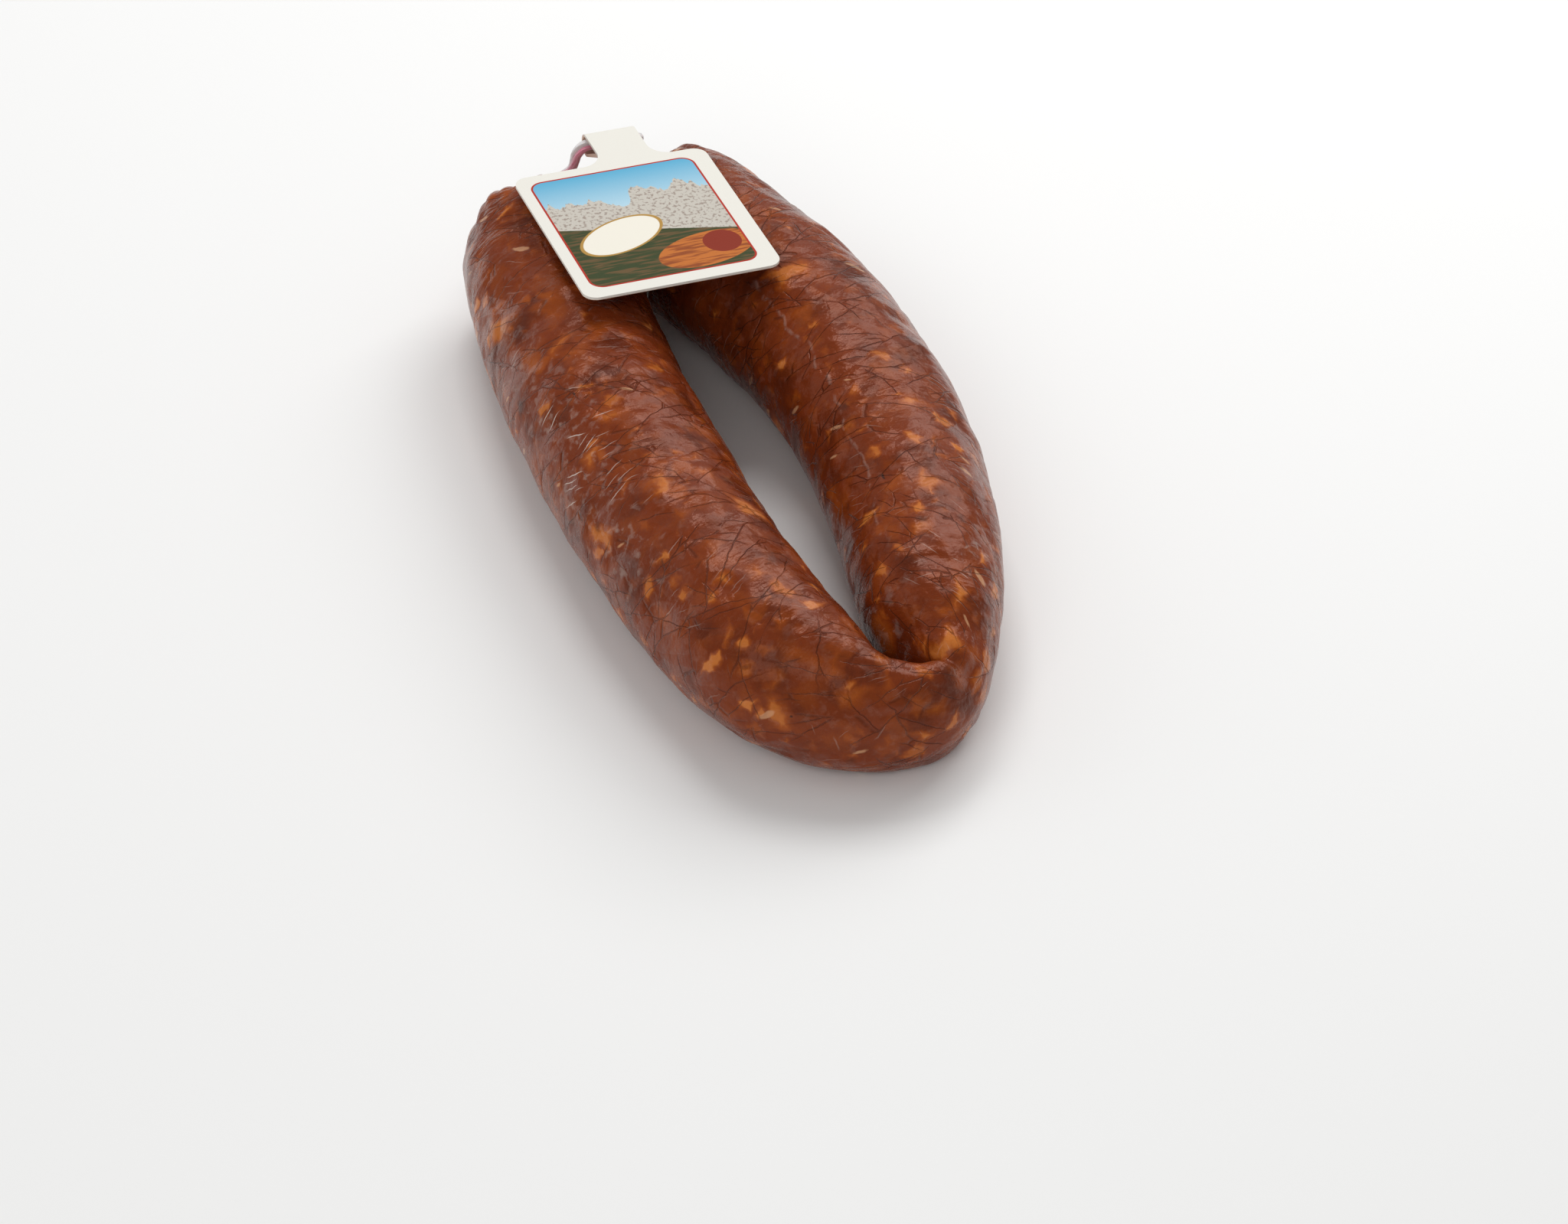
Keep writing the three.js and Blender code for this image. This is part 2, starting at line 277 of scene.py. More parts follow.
@dataclass(frozen=True)
class Course:
    """Centreline and section of the sausage, measured along it from the middle of the fold."""

    fold_place: Span = (-4.2, -97.2)
    fold_heading: float = -4.0
    fold_turn: float = 136.6
    fold_length: float = 37.5
    arm_length: dict[Side, float] = field(default_factory=lambda: {Side.LEFT: 155.2, Side.RIGHT: 156.2})
    arm_bow: dict[Side, float] = field(default_factory=lambda: {Side.LEFT: 259.0, Side.RIGHT: 208.0})
    sink: float = 0.5
    step: float = 0.25
    reach: float = 230.0
    # place, half width, shift to the outside, half height
    girth: tuple[tuple[float, float, float, float], ...] = (
        (-168, 20.9, 0.7, 20.8),
        (-148, 20.8, 0, 20.8),
        (-95, 21.1, 0.1, 20.8),
        (-50, 19.5, 4.3, 20.2),
        (-25, 18.1, 5.2, 18.6),
        (-2, 8.6, 0.8, 14.9),
        (8, 7.6, 2.6, 13.6),
        (25, 14.7, -0.7, 17),
        (60, 18.5, -0.8, 18.6),
        (105, 20, 0, 19.9),
        (174, 20.9, 0, 20.6),
    )

    def end(self, side: Side) -> float:
        """Where an arm ends and its dome begins."""
        return side.value * (self.fold_length / 2 + self.arm_length[side])

    def past(self, s: np.ndarray) -> np.ndarray:
        """Distance past the nearer arm's end, negative on the arms."""
        return np.maximum(self.end(Side.LEFT) - s, s - self.end(Side.RIGHT))

    def heading(self, s: np.ndarray) -> np.ndarray:
        """Direction of the centreline: an eased turn at the fold and a slow bow on each arm.

        Args:
            s: places along the course in millimetres.

        Returns:
            Angles from +X in radians.
        """
        half = self.fold_length / 2
        turned = self.fold_turn * (smoothstep(s / self.fold_length + 0.5) - 0.5)
        left = np.minimum(s + half, 0) / self.arm_bow[Side.LEFT]
        right = np.maximum(s - half, 0) / self.arm_bow[Side.RIGHT]
        return np.radians(self.fold_heading + turned) + left + right

    def place(self, s: np.ndarray) -> np.ndarray:
        """Points of the centreline: the heading summed up in short steps.

        Args:
            s: places along the course in millimetres.

        Returns:
            X and Y in millimetres on a last axis.
        """
        edges = np.arange(-self.reach, self.reach + self.step / 2, self.step)
        heading = self.heading(edges[:-1] + self.step / 2)
        line = np.stack([np.cos(heading), np.sin(heading)], axis=1) * self.step
        line = np.concatenate([np.zeros((1, 2)), np.cumsum(line, axis=0)])
        line += np.array(self.fold_place) - line[len(edges) // 2]
        return np.stack([np.interp(s, edges, line[:, k]) for k in (0, 1)], axis=-1)

    def section(self, s: np.ndarray) -> np.ndarray:
        """Half width, shift and half height: a cubic between knots with slopes from both neighbours.

        Args:
            s: places along the course in millimetres.

        Returns:
            The three lengths in millimetres on a last axis.
        """
        table = np.array(self.girth)
        knots, values = table[:, 0], table[:, 1:]
        at = np.clip(s, self.end(Side.LEFT), self.end(Side.RIGHT))
        right = np.clip(np.searchsorted(knots, at, side="right"), 1, len(knots) - 1)
        left = right - 1
        before = np.where(left > 0, left - 1, right)
        after = np.where(right < len(knots) - 1, right + 1, left)
        half = (knots[right] - knots[left]) / 2
        back = (half / (knots[left] - knots[before]))[:, None]
        on = (half / (knots[after] - knots[right]))[:, None]
        p = ((at - knots[left]) / (knots[right] - knots[left]))[:, None]
        p2, p3 = p * p, p * p * p
        return (
            (-back * p3 + 2 * back * p2 - back * p) * values[before]
            + ((1 + back) * p3 + (-1.5 - 2 * back) * p2 + (back - 0.5) * p + 1) * values[left]
            + ((-1 - on) * p3 + (1.5 + on) * p2 + 0.5 * p) * values[right]
            + (on * p3 - on * p2) * values[after]
        )


# ---------------------------------------------------------------- finishes


@dataclass(frozen=True)
class Finish:
    """A real material, named for what it is and for how its surface was made."""

    name: str

    def surface(self, add: Adder) -> dict[str, object]:
        """What goes into the shader's inputs, by their names; add puts a node in the material."""
        raise NotImplementedError

    def material(self) -> bpy.types.Material:
        """Build the node material: one shader with what the surface gives it.

        Returns:
            The new material.
        """
        material = bpy.data.materials.new(self.name)
        material.use_nodes = True
        material.node_tree.nodes.clear()
        add = partial(add_node, material.node_tree)
        add("OutputMaterial", add("BsdfPrincipled", named=self.surface(add)))
        return material


@dataclass(frozen=True)
class HairCreases:
    """One set of fine creases: its angle in degrees, cells across and along it, lines and facets."""

    turn: float
    cell: Span
    width: float
    cover: float
    tilt: float = 0.08

    def draw(self, add: Adder, outer: Node) -> tuple[Node, Node]:
        """Thin crossing lines and the facets between them.

        The lines are the borders of stretched random cells, kept only in some patches. Each cell is
        a flat facet of taut film, which tips the normal its own way.

        Args:
            add: adds a node to the material.
            outer: unrolled surface coordinates in millimetres.

        Returns:
            A node whose output is 1 on a line and 0 off it, and one with what the facets add to the
            normal.
        """
        turned = {"Rotation": (0, 0, math.radians(self.turn)), "Scale": (*self.cell, 1)}
        placed = add("Mapping", outer, named=turned, **STRETCHED)
        borders = add("TexVoronoi", placed, 1.0, feature="DISTANCE_TO_EDGE", **FLAT_CELLS)
        line = add("MapRange", borders, 0.0, self.width / min(self.cell), 1.0, 0.0, **SMOOTH)
        patch = add("TexNoise", placed, 0.55, 2.0, **FLAT_NOISE)
        kept = add("MapRange", patch, 0.68 - 0.4 * self.cover, 0.76 - 0.4 * self.cover, **SMOOTH)
        cells = add("TexVoronoi", placed, 1.0, **FLAT_CELLS)
        tip = add("VectorMath SUBTRACT", cells.outputs["Color"], (0.5, 0.5, 0.5))
        return add("Math MULTIPLY", line, kept), add("VectorMath SCALE", tip, 2 * self.tilt)


@dataclass(frozen=True)
class CuredCasing(Finish):
    """Natural hog casing dried onto cured meat.

    To the eye: a thin satin skin, clear enough to show red-brown lean meat, amber pieces of fat and
    dark spots below it; fine creases darkened with painted shade, pale scuffs and a broad soft shine with
    broken edges.
    """

    name: str = "natural_casing_over_cured_meat"
    lean: str = "#7b3416"
    lean_deep: str = "#502012"
    lean_warm: str = "#904216"
    fat: str = "#ae561b"
    fat_core: str = "#d98640"
    sinew: str = "#dba67c"
    spot: str = "#38211e"
    pepper: str = "#191213"
    # pale tone of the scuffs; on the seam's line it is partly a painted highlight
    scuff: str = "#e2d3c8"
    film: str = "#dcc098"
    film_stain: str = "#9d6a38"
    # painted shade: the dark tone laid along the fine creases
    crease: str = "#3d1a12"
    roughness: float = 0.23
    # sizes in millimetres of what the patterns show
    cloud_size: float = 11.0
    patch_size: float = 6.0
    fleck_size: float = 2.6
    fat_cells: Span = (8.0, 4.4)
    sliver_cell: float = 5.4
    spot_cell: float = 9.0
    pepper_cell: float = 7.5
    scratch_cell: float = 1.5
    dent_size: float = 11.0
    pore_size: float = 1 / 1.3
    inner_drift: float = 3.6
    outer_drift: float = 1.2
    scratch_turns: tuple[float, ...] = (-54.0, -76.0, -99.0)
    creases: tuple[HairCreases, ...] = (
        HairCreases(24, (3.5, 17.0), 0.16, 0.42),
        HairCreases(-22, (3.9, 18.0), 0.15, 0.38),
        HairCreases(58, (3.6, 13.0), 0.14, 0.22),
    )

    def scattered(
        self, add: Adder, place: Node, cell: float, share: float, radius: Span, edge: float, **settings: str
    ) -> Node:
        """Round spots in some cells of a random cell pattern.

        A cell has a spot where its random red is above 1 - share; its random green sets the spot's
        radius, and the spot fades over its edge.

        Args:
            add: adds a node to the material.
            place: coordinates in millimetres.
            cell: cell size in millimetres.
            share: share of the cells that have a spot.
            radius: smallest and largest radius in millimetres.
            edge: width of the faded edge in millimetres.
            settings: the cell pattern's settings.

        Returns:
            A node whose output is 1 in a spot and 0 outside.
        """
        cells = add("TexVoronoi", place, 1 / cell, **settings)
        draw = add("SeparateColor", cells.outputs["Color"])
        size = add("MapRange", draw.outputs["Green"], 0.0, 1.0, radius[0] / cell, radius[1] / cell)
        chosen = add("Math GREATER_THAN", draw.outputs["Red"], 1 - share)
        reach = add("Math MULTIPLY", size, chosen)
        gap = add("Math SUBTRACT", cells, add("Math SUBTRACT", reach, edge / cell))
        faded = add("MapRange", gap, 0.0, edge / cell, 1.0, 0.0, **SMOOTH)
        return add("Math MULTIPLY", faded, chosen)

    def diced(self, add: Adder, place: Node, cell: float, share: float, inset: Span, edge: float) -> Node:
        """Angular pieces: some cells of a random cell pattern, each drawn in from its borders.

        A cell holds a piece where its random red is above 1 - share; its random green sets how far
        the piece stays inside the cell, and its random blue how deep the piece lies, so how clear.

        Args:
            add: adds a node to the material.
            place: coordinates in millimetres.
            cell: cell size in millimetres.
            share: share of the cells that hold a piece.
            inset: smallest and largest distance from the cell's border in millimetres.
            edge: width of the faded edge in millimetres.

        Returns:
            A node whose output is up to 1 in a piece and 0 outside.
        """
        cells = add("TexVoronoi", place, 1 / cell)
        borders = add("TexVoronoi", place, 1 / cell, feature="DISTANCE_TO_EDGE")
        draw = add("SeparateColor", cells.outputs["Color"])
        margin = add("MapRange", draw.outputs["Green"], 0.0, 1.0, inset[0] / cell, inset[1] / cell)
        chosen = add("Math GREATER_THAN", draw.outputs["Red"], 1 - share)
        clear = add("MapRange", draw.outputs["Blue"], 0.0, 1.0, 0.3, 1.0)
        depth = add("Math SUBTRACT", borders, margin)
        piece = add("MapRange", depth, 0.0, edge / cell, **SMOOTH)
        return add("Math MULTIPLY", piece, add("Math MULTIPLY", clear, chosen))

    def meat(self, add: Adder, inner: Node, outer: Node) -> tuple[Node, list[Layer]]:
        """What shows through the skin: lean meat in three tones, amber fat, sinew, spots and pepper.

        Args:
            add: adds a node to the material.
            inner: drifted coordinates in space in millimetres.
            outer: drifted coordinates on the unrolled skin in millimetres.

        Returns:
            The fat's cover, and the cover and tone of each layer over the lean tone, from below.
        """
        clouds = add("TexNoise", inner, 1 / self.cloud_size, 2.0)
        patches = add("TexNoise", inner, 1 / self.patch_size, 1.5)
        deep = add("MapRange", clouds, 0.46, 0.74, 0.0, 0.75, **SMOOTH)
        warm = add("MapRange", patches, 0.46, 0.7, 0.0, 0.6, **SMOOTH)
        large = self.diced(add, inner, self.fat_cells[0], 0.27, (-0.6, 1.3), 2.6)
        small = self.diced(add, inner, self.fat_cells[1], 0.25, (-0.2, 0.7), 1.3)
        fat = add("Math MAXIMUM", large, small)
        core = add("MapRange", fat, 0.5, 1.0, 0.0, 0.6, **SMOOTH)
        # slivers of sinew lie slantwise and are about three times as long as wide
        slant = {"Rotation": (0, 0, math.radians(-60)), "Scale": (3.3, 1, 1)}
        slanted = add("Mapping", outer, named=slant, **STRETCHED)
        slivers = self.scattered(add, slanted, self.sliver_cell, 0.1, (0.4, 0.9), 0.3, **FLAT_CELLS)
        spots = self.scattered(add, inner, self.spot_cell, 0.32, (0.9, 2.6), 1.8)
        pepper = self.scattered(add, inner, self.pepper_cell, 0.12, (0.3, 0.65), 0.25)
        return fat, [
            (deep, self.lean_deep),
            (warm, self.lean_warm),
            (fat, self.fat),
            (core, self.fat_core),
            (add("Math MULTIPLY", slivers, 0.6), self.sinew),
            (add("Math MULTIPLY", spots, 0.55), self.spot),
            (add("Math MULTIPLY", pepper, 0.8), self.pepper),
        ]

    def scuffed(self, add: Adder, outer: Node, flecks: Node) -> Node:
        """Pale scuffs: thin scratches across the sausage and a little powder, where it was rubbed.

        Args:
            add: adds a node to the material.
            outer: drifted coordinates on the unrolled skin in millimetres.
            flecks: a fine noise.

        Returns:
            A node with the scuffs' cover.
        """
        scratches = None
        for turn in self.scratch_turns:
            drawn = {"Rotation": (0, 0, math.radians(turn)), "Scale": (20, 1, 1)}
            placed = add("Mapping", outer, named=drawn, **STRETCHED)
            some = self.scattered(add, placed, self.scratch_cell, 0.17, (0.06, 0.19), 0.1, **FLAT_CELLS)
            scratches = add("Math MAXIMUM", scratches, some) if scratches else some
        powder = add("MapRange", flecks, 0.52, 0.75, 0.0, 0.25, **SMOOTH)
        both = add("Math MULTIPLY_ADD", scratches, 0.8, powder)
        zone = add("Attribute", attribute_name="scuff")
        return add("Math MULTIPLY", both, zone.outputs["Fac"], use_clamp=True)

    def seam(self, add: Adder, outer: Node, flecks: Node) -> Node:
        """A broken pale seam along the right arm, about two thirds of the way up: a low ridge whose pale
        line is partly the seam's own paler skin and partly a painted highlight along the ridge.

        Its place round the sausage is 51 mm from the underside, and wavers by a few millimetres.

        Args:
            add: adds a node to the material.
            outer: drifted coordinates on the unrolled skin in millimetres.
            flecks: a fine noise.

        Returns:
            A node whose output is 1 on the seam and 0 off it.
        """
        axes = add("SeparateXYZ", outer)
        waver = add("TexNoise", axes.outputs["X"], 0.07, 2.0, noise_dimensions="1D")
        waver = add("Math MULTIPLY_ADD", waver, -7.0, -47.5)
        away = add("Math ABSOLUTE", add("Math ADD", axes.outputs["Y"], waver))
        line = add("MapRange", away, 0.05, 0.7, 1.0, 0.0, **SMOOTH)
        broken = add("MapRange", flecks, 0.42, 0.6, **SMOOTH)
        line = add("Math MULTIPLY", line, broken)
        return add("Math MULTIPLY", line, add("Attribute", attribute_name="seam").outputs["Fac"])

    def bumps(
        self, add: Adder, space: Node, inner: Node, outer: Node, heights: tuple[tuple[Node, float], ...]
    ) -> Node:
        """The skin's normal from broad dents, gathered folds, fine pores and some given heights.

        Args:
            add: adds a node to the material.
            space: coordinates in space in millimetres.
            inner: the same, drifted.
            outer: drifted coordinates on the unrolled skin in millimetres.
            heights: nodes, each with its height in millimetres.

        Returns:
            The bumped normal.
        """
        dents = add("TexVoronoi", inner, 1 / self.dent_size)
        folds = add("Mapping", outer, named={"Scale": (0.75, 0.14, 1.0)})
        folds = add("TexNoise", folds, 1.0, 2.0, **FLAT_NOISE)
        folds = add("Math MULTIPLY", folds, add("Attribute", attribute_name="gather").outputs["Fac"])
        pores = add("TexNoise", space, 1 / self.pore_size, 2.0)
        relief = add("Math MULTIPLY", dents, -1.3)
        for part, height in (*heights, (folds, 0.5), (pores, 0.1)):
            relief = add("Math MULTIPLY_ADD", part, height, relief)
        return add("Bump", named={"Height": relief, "Distance": MM, "Strength": 0.8})

    def surface(self, add: Adder) -> dict[str, object]:
        """The layers of tone, the relief and the shine.

        Args:
            add: adds a node to the material.

        Returns:
            What goes into the shader's inputs, by their names.
        """
        space = add("Mapping", add("TexCoord").outputs["Object"], named={"Scale": (1 / MM, 1 / MM, 1 / MM)})
        unrolled = add("UVMap", uv_map="surface")
        # what lies below the skin wanders by about a millimetre, the skin's own lines by less
        drift = add("TexNoise", space, 0.3, 2.5)
        drift = add("VectorMath SUBTRACT", drift.outputs["Color"], (0.5, 0.5, 0.5))
        inner = add("VectorMath ADD", space, add("VectorMath SCALE", drift, self.inner_drift))
        outer = add("VectorMath ADD", unrolled, add("VectorMath SCALE", drift, self.outer_drift))
        flecks = add("TexNoise", inner, 1 / self.fleck_size, 3.0)

        fat, layers = self.meat(add, inner, outer)
        drawn = [creases.draw(add, outer) for creases in self.creases]
        creased = drawn[0][0]
        for line, _ in drawn[1:]:
            creased = add("Math MAXIMUM", creased, line)
        scuffed = self.scuffed(add, outer, flecks)
        seam = self.seam(add, outer, flecks)
        layers += [
            # painted shade along the fine creases, over their bump
            (add("Math MULTIPLY", creased, 0.36), self.crease),
            (scuffed, self.scuff),
            # the seam's pale line: partly its own paler skin, partly a painted highlight along its ridge
            (add("Math MULTIPLY", seam, 0.12), self.scuff),
        ]
        colour = linear(self.lean)
        for cover, tone in layers:
            colour = add("Mix", cover, colour, linear(tone), **TONES)
        # beyond the clips only the dried film of the casing is left
        stained = add("MapRange", flecks, 0.4, 0.62, **SMOOTH)
        film = add("Mix", stained, linear(self.film), linear(self.film_stain), **TONES)
        is_film = add("Attribute", attribute_name="film").outputs["Fac"]
        colour = add("Mix", is_film, colour, film, **TONES)

        normal = self.bumps(add, space, inner, outer, ((fat, 0.12), (creased, -0.3), (seam, 0.08)))
        for _, tip in drawn:
            normal = add("VectorMath ADD", normal, tip)
        normal = add("VectorMath NORMALIZE", normal)
        sheen = add("MapRange", flecks, 0.0, 1.0, self.roughness - 0.08, self.roughness + 0.1)
        dulled = add("Math MULTIPLY_ADD", scuffed, 0.4, sheen)
        coat_roughness = add("MapRange", dulled, 0.2, 0.6, 0.16, 0.4)
        return {
            "Base Color": colour,
            "Roughness": dulled,
            "IOR": 1.37,
            "Specular IOR Level": 0.46,
            "Specular Tint": (1.0, 0.52, 0.38, 1.0),
            "Subsurface Weight": 0.08,
            "Subsurface Radius": (1.0, 0.35, 0.15),
            "Subsurface Scale": 2 * MM,
            "Coat Weight": 0.05,
            "Coat Roughness": coat_roughness,
            "Coat IOR": 1.6,
            "Coat Tint": (1.0, 0.93, 0.88, 1.0),
            "Normal": normal,
        }


@dataclass(frozen=True)
class PressedAluminium(Finish):
    """Soft aluminium strip, rolled and crimped: pale grey, satin, with fine lines along the strip."""

    name: str = "pressed_aluminium_strip"
    tone: str = "#c3c6c9"
    line: str = "#9da1a6"
    roughness: float = 0.31
    line_gap: float = 1 / 3.3

    def surface(self, add: Adder) -> dict[str, object]:
        """Rolling lines and faint blotches.

        Args:
            add: adds a node to the material.

        Returns:
            What goes into the shader's inputs, by their names.
        """
        along = add("UVMap", uv_map="surface")
        drawn = add("Mapping", along, named={"Scale": (0.2, 1 / self.line_gap, 1.0)})
        lines = add("TexNoise", drawn, 1.0, 3.0, **FLAT_NOISE)
        blotches = add("TexNoise", along, 0.5, 3.0, **FLAT_NOISE)
        return {
            "Base Color": add("Mix", lines, linear(self.tone), linear(self.line), **TONES),
            "Metallic": 1.0,
            "Roughness": add("MapRange", blotches, 0.0, 1.0, self.roughness - 0.1, self.roughness + 0.14),
            "Normal": add("Bump", named={"Height": lines, "Distance": 0.06 * MM, "Strength": 0.6}),
        }


@dataclass(frozen=True)
class LooseTwine(Finish):
    """Loose cotton twine, hardly twisted: dull, hairy, with fine fibres that run along a strand."""

    tone: str
    shade: str
    # real fibres are finer than the render can show
    fibre: float = 0.25

    def surface(self, add: Adder) -> dict[str, object]:
        """Two tones of fibres and their relief.

        Args:
            add: adds a node to the material.

        Returns:
            What goes into the shader's inputs, by their names.
        """
        along = add("UVMap", uv_map="surface")
        drawn = add("Mapping", along, named={"Scale": (0.22, 1 / self.fibre, 1.0)})
        fibres = add("TexNoise", drawn, 1.0, 4.0, **FLAT_NOISE)
        share = add("MapRange", fibres, 0.38, 0.62, **SMOOTH)
        return {
            "Base Color": add("Mix", share, linear(self.shade), linear(self.tone), **TONES),
            "Roughness": 0.85,
            "Sheen Weight": 1.0,
            "Subsurface Weight": 0.3,
            "Subsurface Radius": (1.0, 0.8, 0.75),
            "Subsurface Scale": 0.5 * MM,
            "Normal": add("Bump", named={"Height": fibres, "Distance": self.fibre * MM, "Strength": 0.9}),
        }


@dataclass(frozen=True)
class PrintedCard(Finish):
    """White-lined board with an offset print under a thin varnish: smooth, slightly glossy.

    The print is a plain landscape of simple fields of colour inside a thin red frame line.
    """

    name: str = "varnished_printed_board"
    # middle of the card's face in metres, and the card's rotation in radians
    origin: tuple[float, ...] = (0.0, 0.0, 0.0)
    turn: tuple[float, ...] = (0.0, 0.0, 0.0)
    board: str = "#f1efe6"
    back: str = "#d9b9a4"
    line: str = "#b82d1a"
    sky: str = "#58b0d6"
    haze: str = "#c8e4f0"
    hill: str = "#cdc7bc"
    hill_speck: str = "#97857a"
    meadow: str = "#38431f"
    furrow: str = "#6a5230"
    field: str = "#c8722c"
    grain: str = "#96491a"
    disc: str = "#8c2a10"
    oval: str = "#f7f2e4"
    rim: str = "#b98f45"
    centre: Span = (-0.7, 0.3)
    half_size: Span = (20.6, 23.9)
    corner: float = 3.4
    line_width: float = 0.5
    sky_span: Span = (4.0, 24.0)

    def inside(self, add: Adder, distance: Node, edge: float = 0.0, blur: float = 0.06) -> Node:
        """1 where a signed distance in millimetres is below an edge, with a printed blur."""
        return add("MapRange", distance, edge - blur, edge + blur, 1.0, 0.0, **SMOOTH)

    def frame_distance(self, add: Adder, place: Node) -> Node:
        """Signed distance to the print's rounded rectangle.

        The distance from a rounded box: the length of what lies beyond its straight parts, plus the
        larger of the two negative gaps inside, less the corner radius.

        Args:
            add: adds a node to the material.
            place: millimetres on the card.

        Returns:
            A node with the distance in millimetres, negative inside.
        """
        moved = add("VectorMath SUBTRACT", place, (*self.centre, 0))
        folded = add("VectorMath ABSOLUTE", add("VectorMath MULTIPLY", moved, (1, 1, 0)))
        straight = (self.half_size[0] - self.corner, self.half_size[1] - self.corner, 0)
        gap = add("VectorMath SUBTRACT", folded, straight)
        length = add("VectorMath LENGTH", add("VectorMath MAXIMUM", gap, (0, 0, 0)))
        parts = add("SeparateXYZ", gap)
        larger = add("Math MAXIMUM", parts.outputs["X"], parts.outputs["Y"])
        total = add("Math ADD", length, add("Math MINIMUM", larger, 0.0))
        return add("Math SUBTRACT", total, self.corner)

    def oval_distance(self, add: Adder, place: Node, centre: Span, radii: Span, turn: float) -> Node:
        """Rough signed distance to a turned oval: its scaled radius less 1, times the small radius.

        Args:
            add: adds a node to the material.
            place: millimetres on the card.
            centre: the oval's middle.
            radii: its two radii.
            turn: its angle in degrees.

        Returns:
            A node with the distance in millimetres, negative inside.
        """
        local = add("VectorMath SUBTRACT", place, (*centre, 0))
        turned = {"Vector": local, "Angle": math.radians(-turn)}
        local = add("VectorRotate", named=turned, rotation_type="Z_AXIS")
        local = add("VectorMath MULTIPLY", local, (1 / radii[0], 1 / radii[1], 0))
        scaled = add("VectorMath LENGTH", local)
        return add("Math MULTIPLY_ADD", scaled, min(radii), -min(radii))

    def picture(self, add: Adder, place: Node) -> Node:
        """The landscape: sky, hills, meadow, field, disc and oval, each over the ones before it.

        Args:
            add: adds a node to the material.
            place: millimetres on the card, X across and Y along it.

        Returns:
            The picture's colour.
        """
        axes = add("SeparateXYZ", place)
        across, along = axes.outputs["X"], axes.outputs["Y"]
        # sky, paler towards the hills
        rise = add("MapRange", along, *self.sky_span)
        picture = add("Mix", rise, linear(self.haze), linear(self.sky), **TONES)
        # pale speckled hills below a ragged ridge
        ridge = add("TexNoise", across, 0.12, 4.0, noise_dimensions="1D")
        ridge = add("Math ADD", along, add("Math MULTIPLY_ADD", ridge, -26.0, 1.0))
        specks = add("MapRange", add("TexNoise", place, 1.1, 3.0, **FLAT_NOISE), 0.52, 0.66, 0.0, 0.8)
        hills = add("Mix", specks, linear(self.hill), linear(self.hill_speck), **TONES)
        # dark meadow with slanting furrows, below a sloping edge
        furrows = {"Rotation": (0, 0, math.radians(28)), "Scale": (0.12, 1.1, 1.0)}
        furrows = add("TexNoise", add("Mapping", place, named=furrows), 1.0, 2.0, **FLAT_NOISE)
        furrows = add("MapRange", furrows, 0.47, 0.62)
        meadow = add("Mix", furrows, linear(self.meadow), linear(self.furrow), **TONES)
        slope = add("Math ADD", along, add("Math MULTIPLY_ADD", across, 0.28, 3.5))
        # an orange-brown round field with a grain, a dark red disc and a bare cream oval with a gold rim
        ploughed = add("Mix", furrows, linear(self.field), linear(self.grain), **TONES)
        round_field = self.oval_distance(add, place, (9.5, -15.5), (12.5, 6.6), 12)
        disc = self.oval_distance(add, place, (14.0, -13.5), (4.6, 4.6), 0)
        oval = self.oval_distance(add, place, (-7.5, -4.0), (11.8, 6.4), 24)
        for cover, tone in (
            (self.inside(add, ridge, blur=0.15), hills),
            (self.inside(add, slope, blur=0.12), meadow),
            (self.inside(add, round_field, blur=0.1), ploughed),
            (self.inside(add, disc, blur=0.1), linear(self.disc)),
            (self.inside(add, oval), linear(self.rim)),
            (self.inside(add, oval, -0.5), linear(self.oval)),
        ):
            picture = add("Mix", cover, picture, tone, **TONES)
        return picture

    def surface(self, add: Adder) -> dict[str, object]:
        """Board, frame line, picture and bare back.

        Args:
            add: adds a node to the material.

        Returns:
            What goes into the shader's inputs, by their names.
        """
        # millimetres on the card: X across, Y along, Z out of its face
        where = add("TexCoord").outputs["Object"]
        place = add("Mapping", where, self.origin, self.turn, (MM, MM, MM), **STRETCHED)
        frame = self.frame_distance(add, place)
        fibre = add("TexNoise", place, 2.2, 2.0, **FLAT_NOISE)
        fibre_share = add("MapRange", fibre, 0.0, 1.0, 0.0, 0.06)
        # the unprinted back is greyish pink board
        is_back = add("Math LESS_THAN", add("SeparateXYZ", place).outputs["Z"], -0.6)
        tone = add("Mix", fibre_share, linear(self.board), linear(self.back), **TONES)
        for cover, over in (
            (self.inside(add, frame), linear(self.line)),
            (self.inside(add, frame, -self.line_width), self.picture(add, place)),
            (is_back, linear(self.back)),
        ):
            tone = add("Mix", cover, tone, over, **TONES)
        return {
            "Base Color": tone,
            "Roughness": 0.45,
            "Specular IOR Level": 0.22,
            "Normal": add("Bump", named={"Height": fibre, "Distance": 0.03 * MM, "Strength": 0.4}),
        }


@dataclass(frozen=True)
class StudioFloor(Finish):
    """Matt white laminate of a photo table: even, nearly white, without a visible edge."""

    name: str = "matt_white_laminate"
    tone: str = "#fdfdfc"

    def surface(self, add: Adder) -> dict[str, object]:
        """One even tone with a weak shine."""
        return {"Base Color": linear(self.tone), "Roughness": 0.6, "Specular IOR Level": 0.25}


# ---------------------------------------------------------------- studio


@dataclass(frozen=True)
class SoftBox:
    """Square soft box: angles in degrees from -Y and above the floor, metres and watts."""

    name: str
    azimuth: float
    elevation: float
    size: float
    power: float
    distance: float


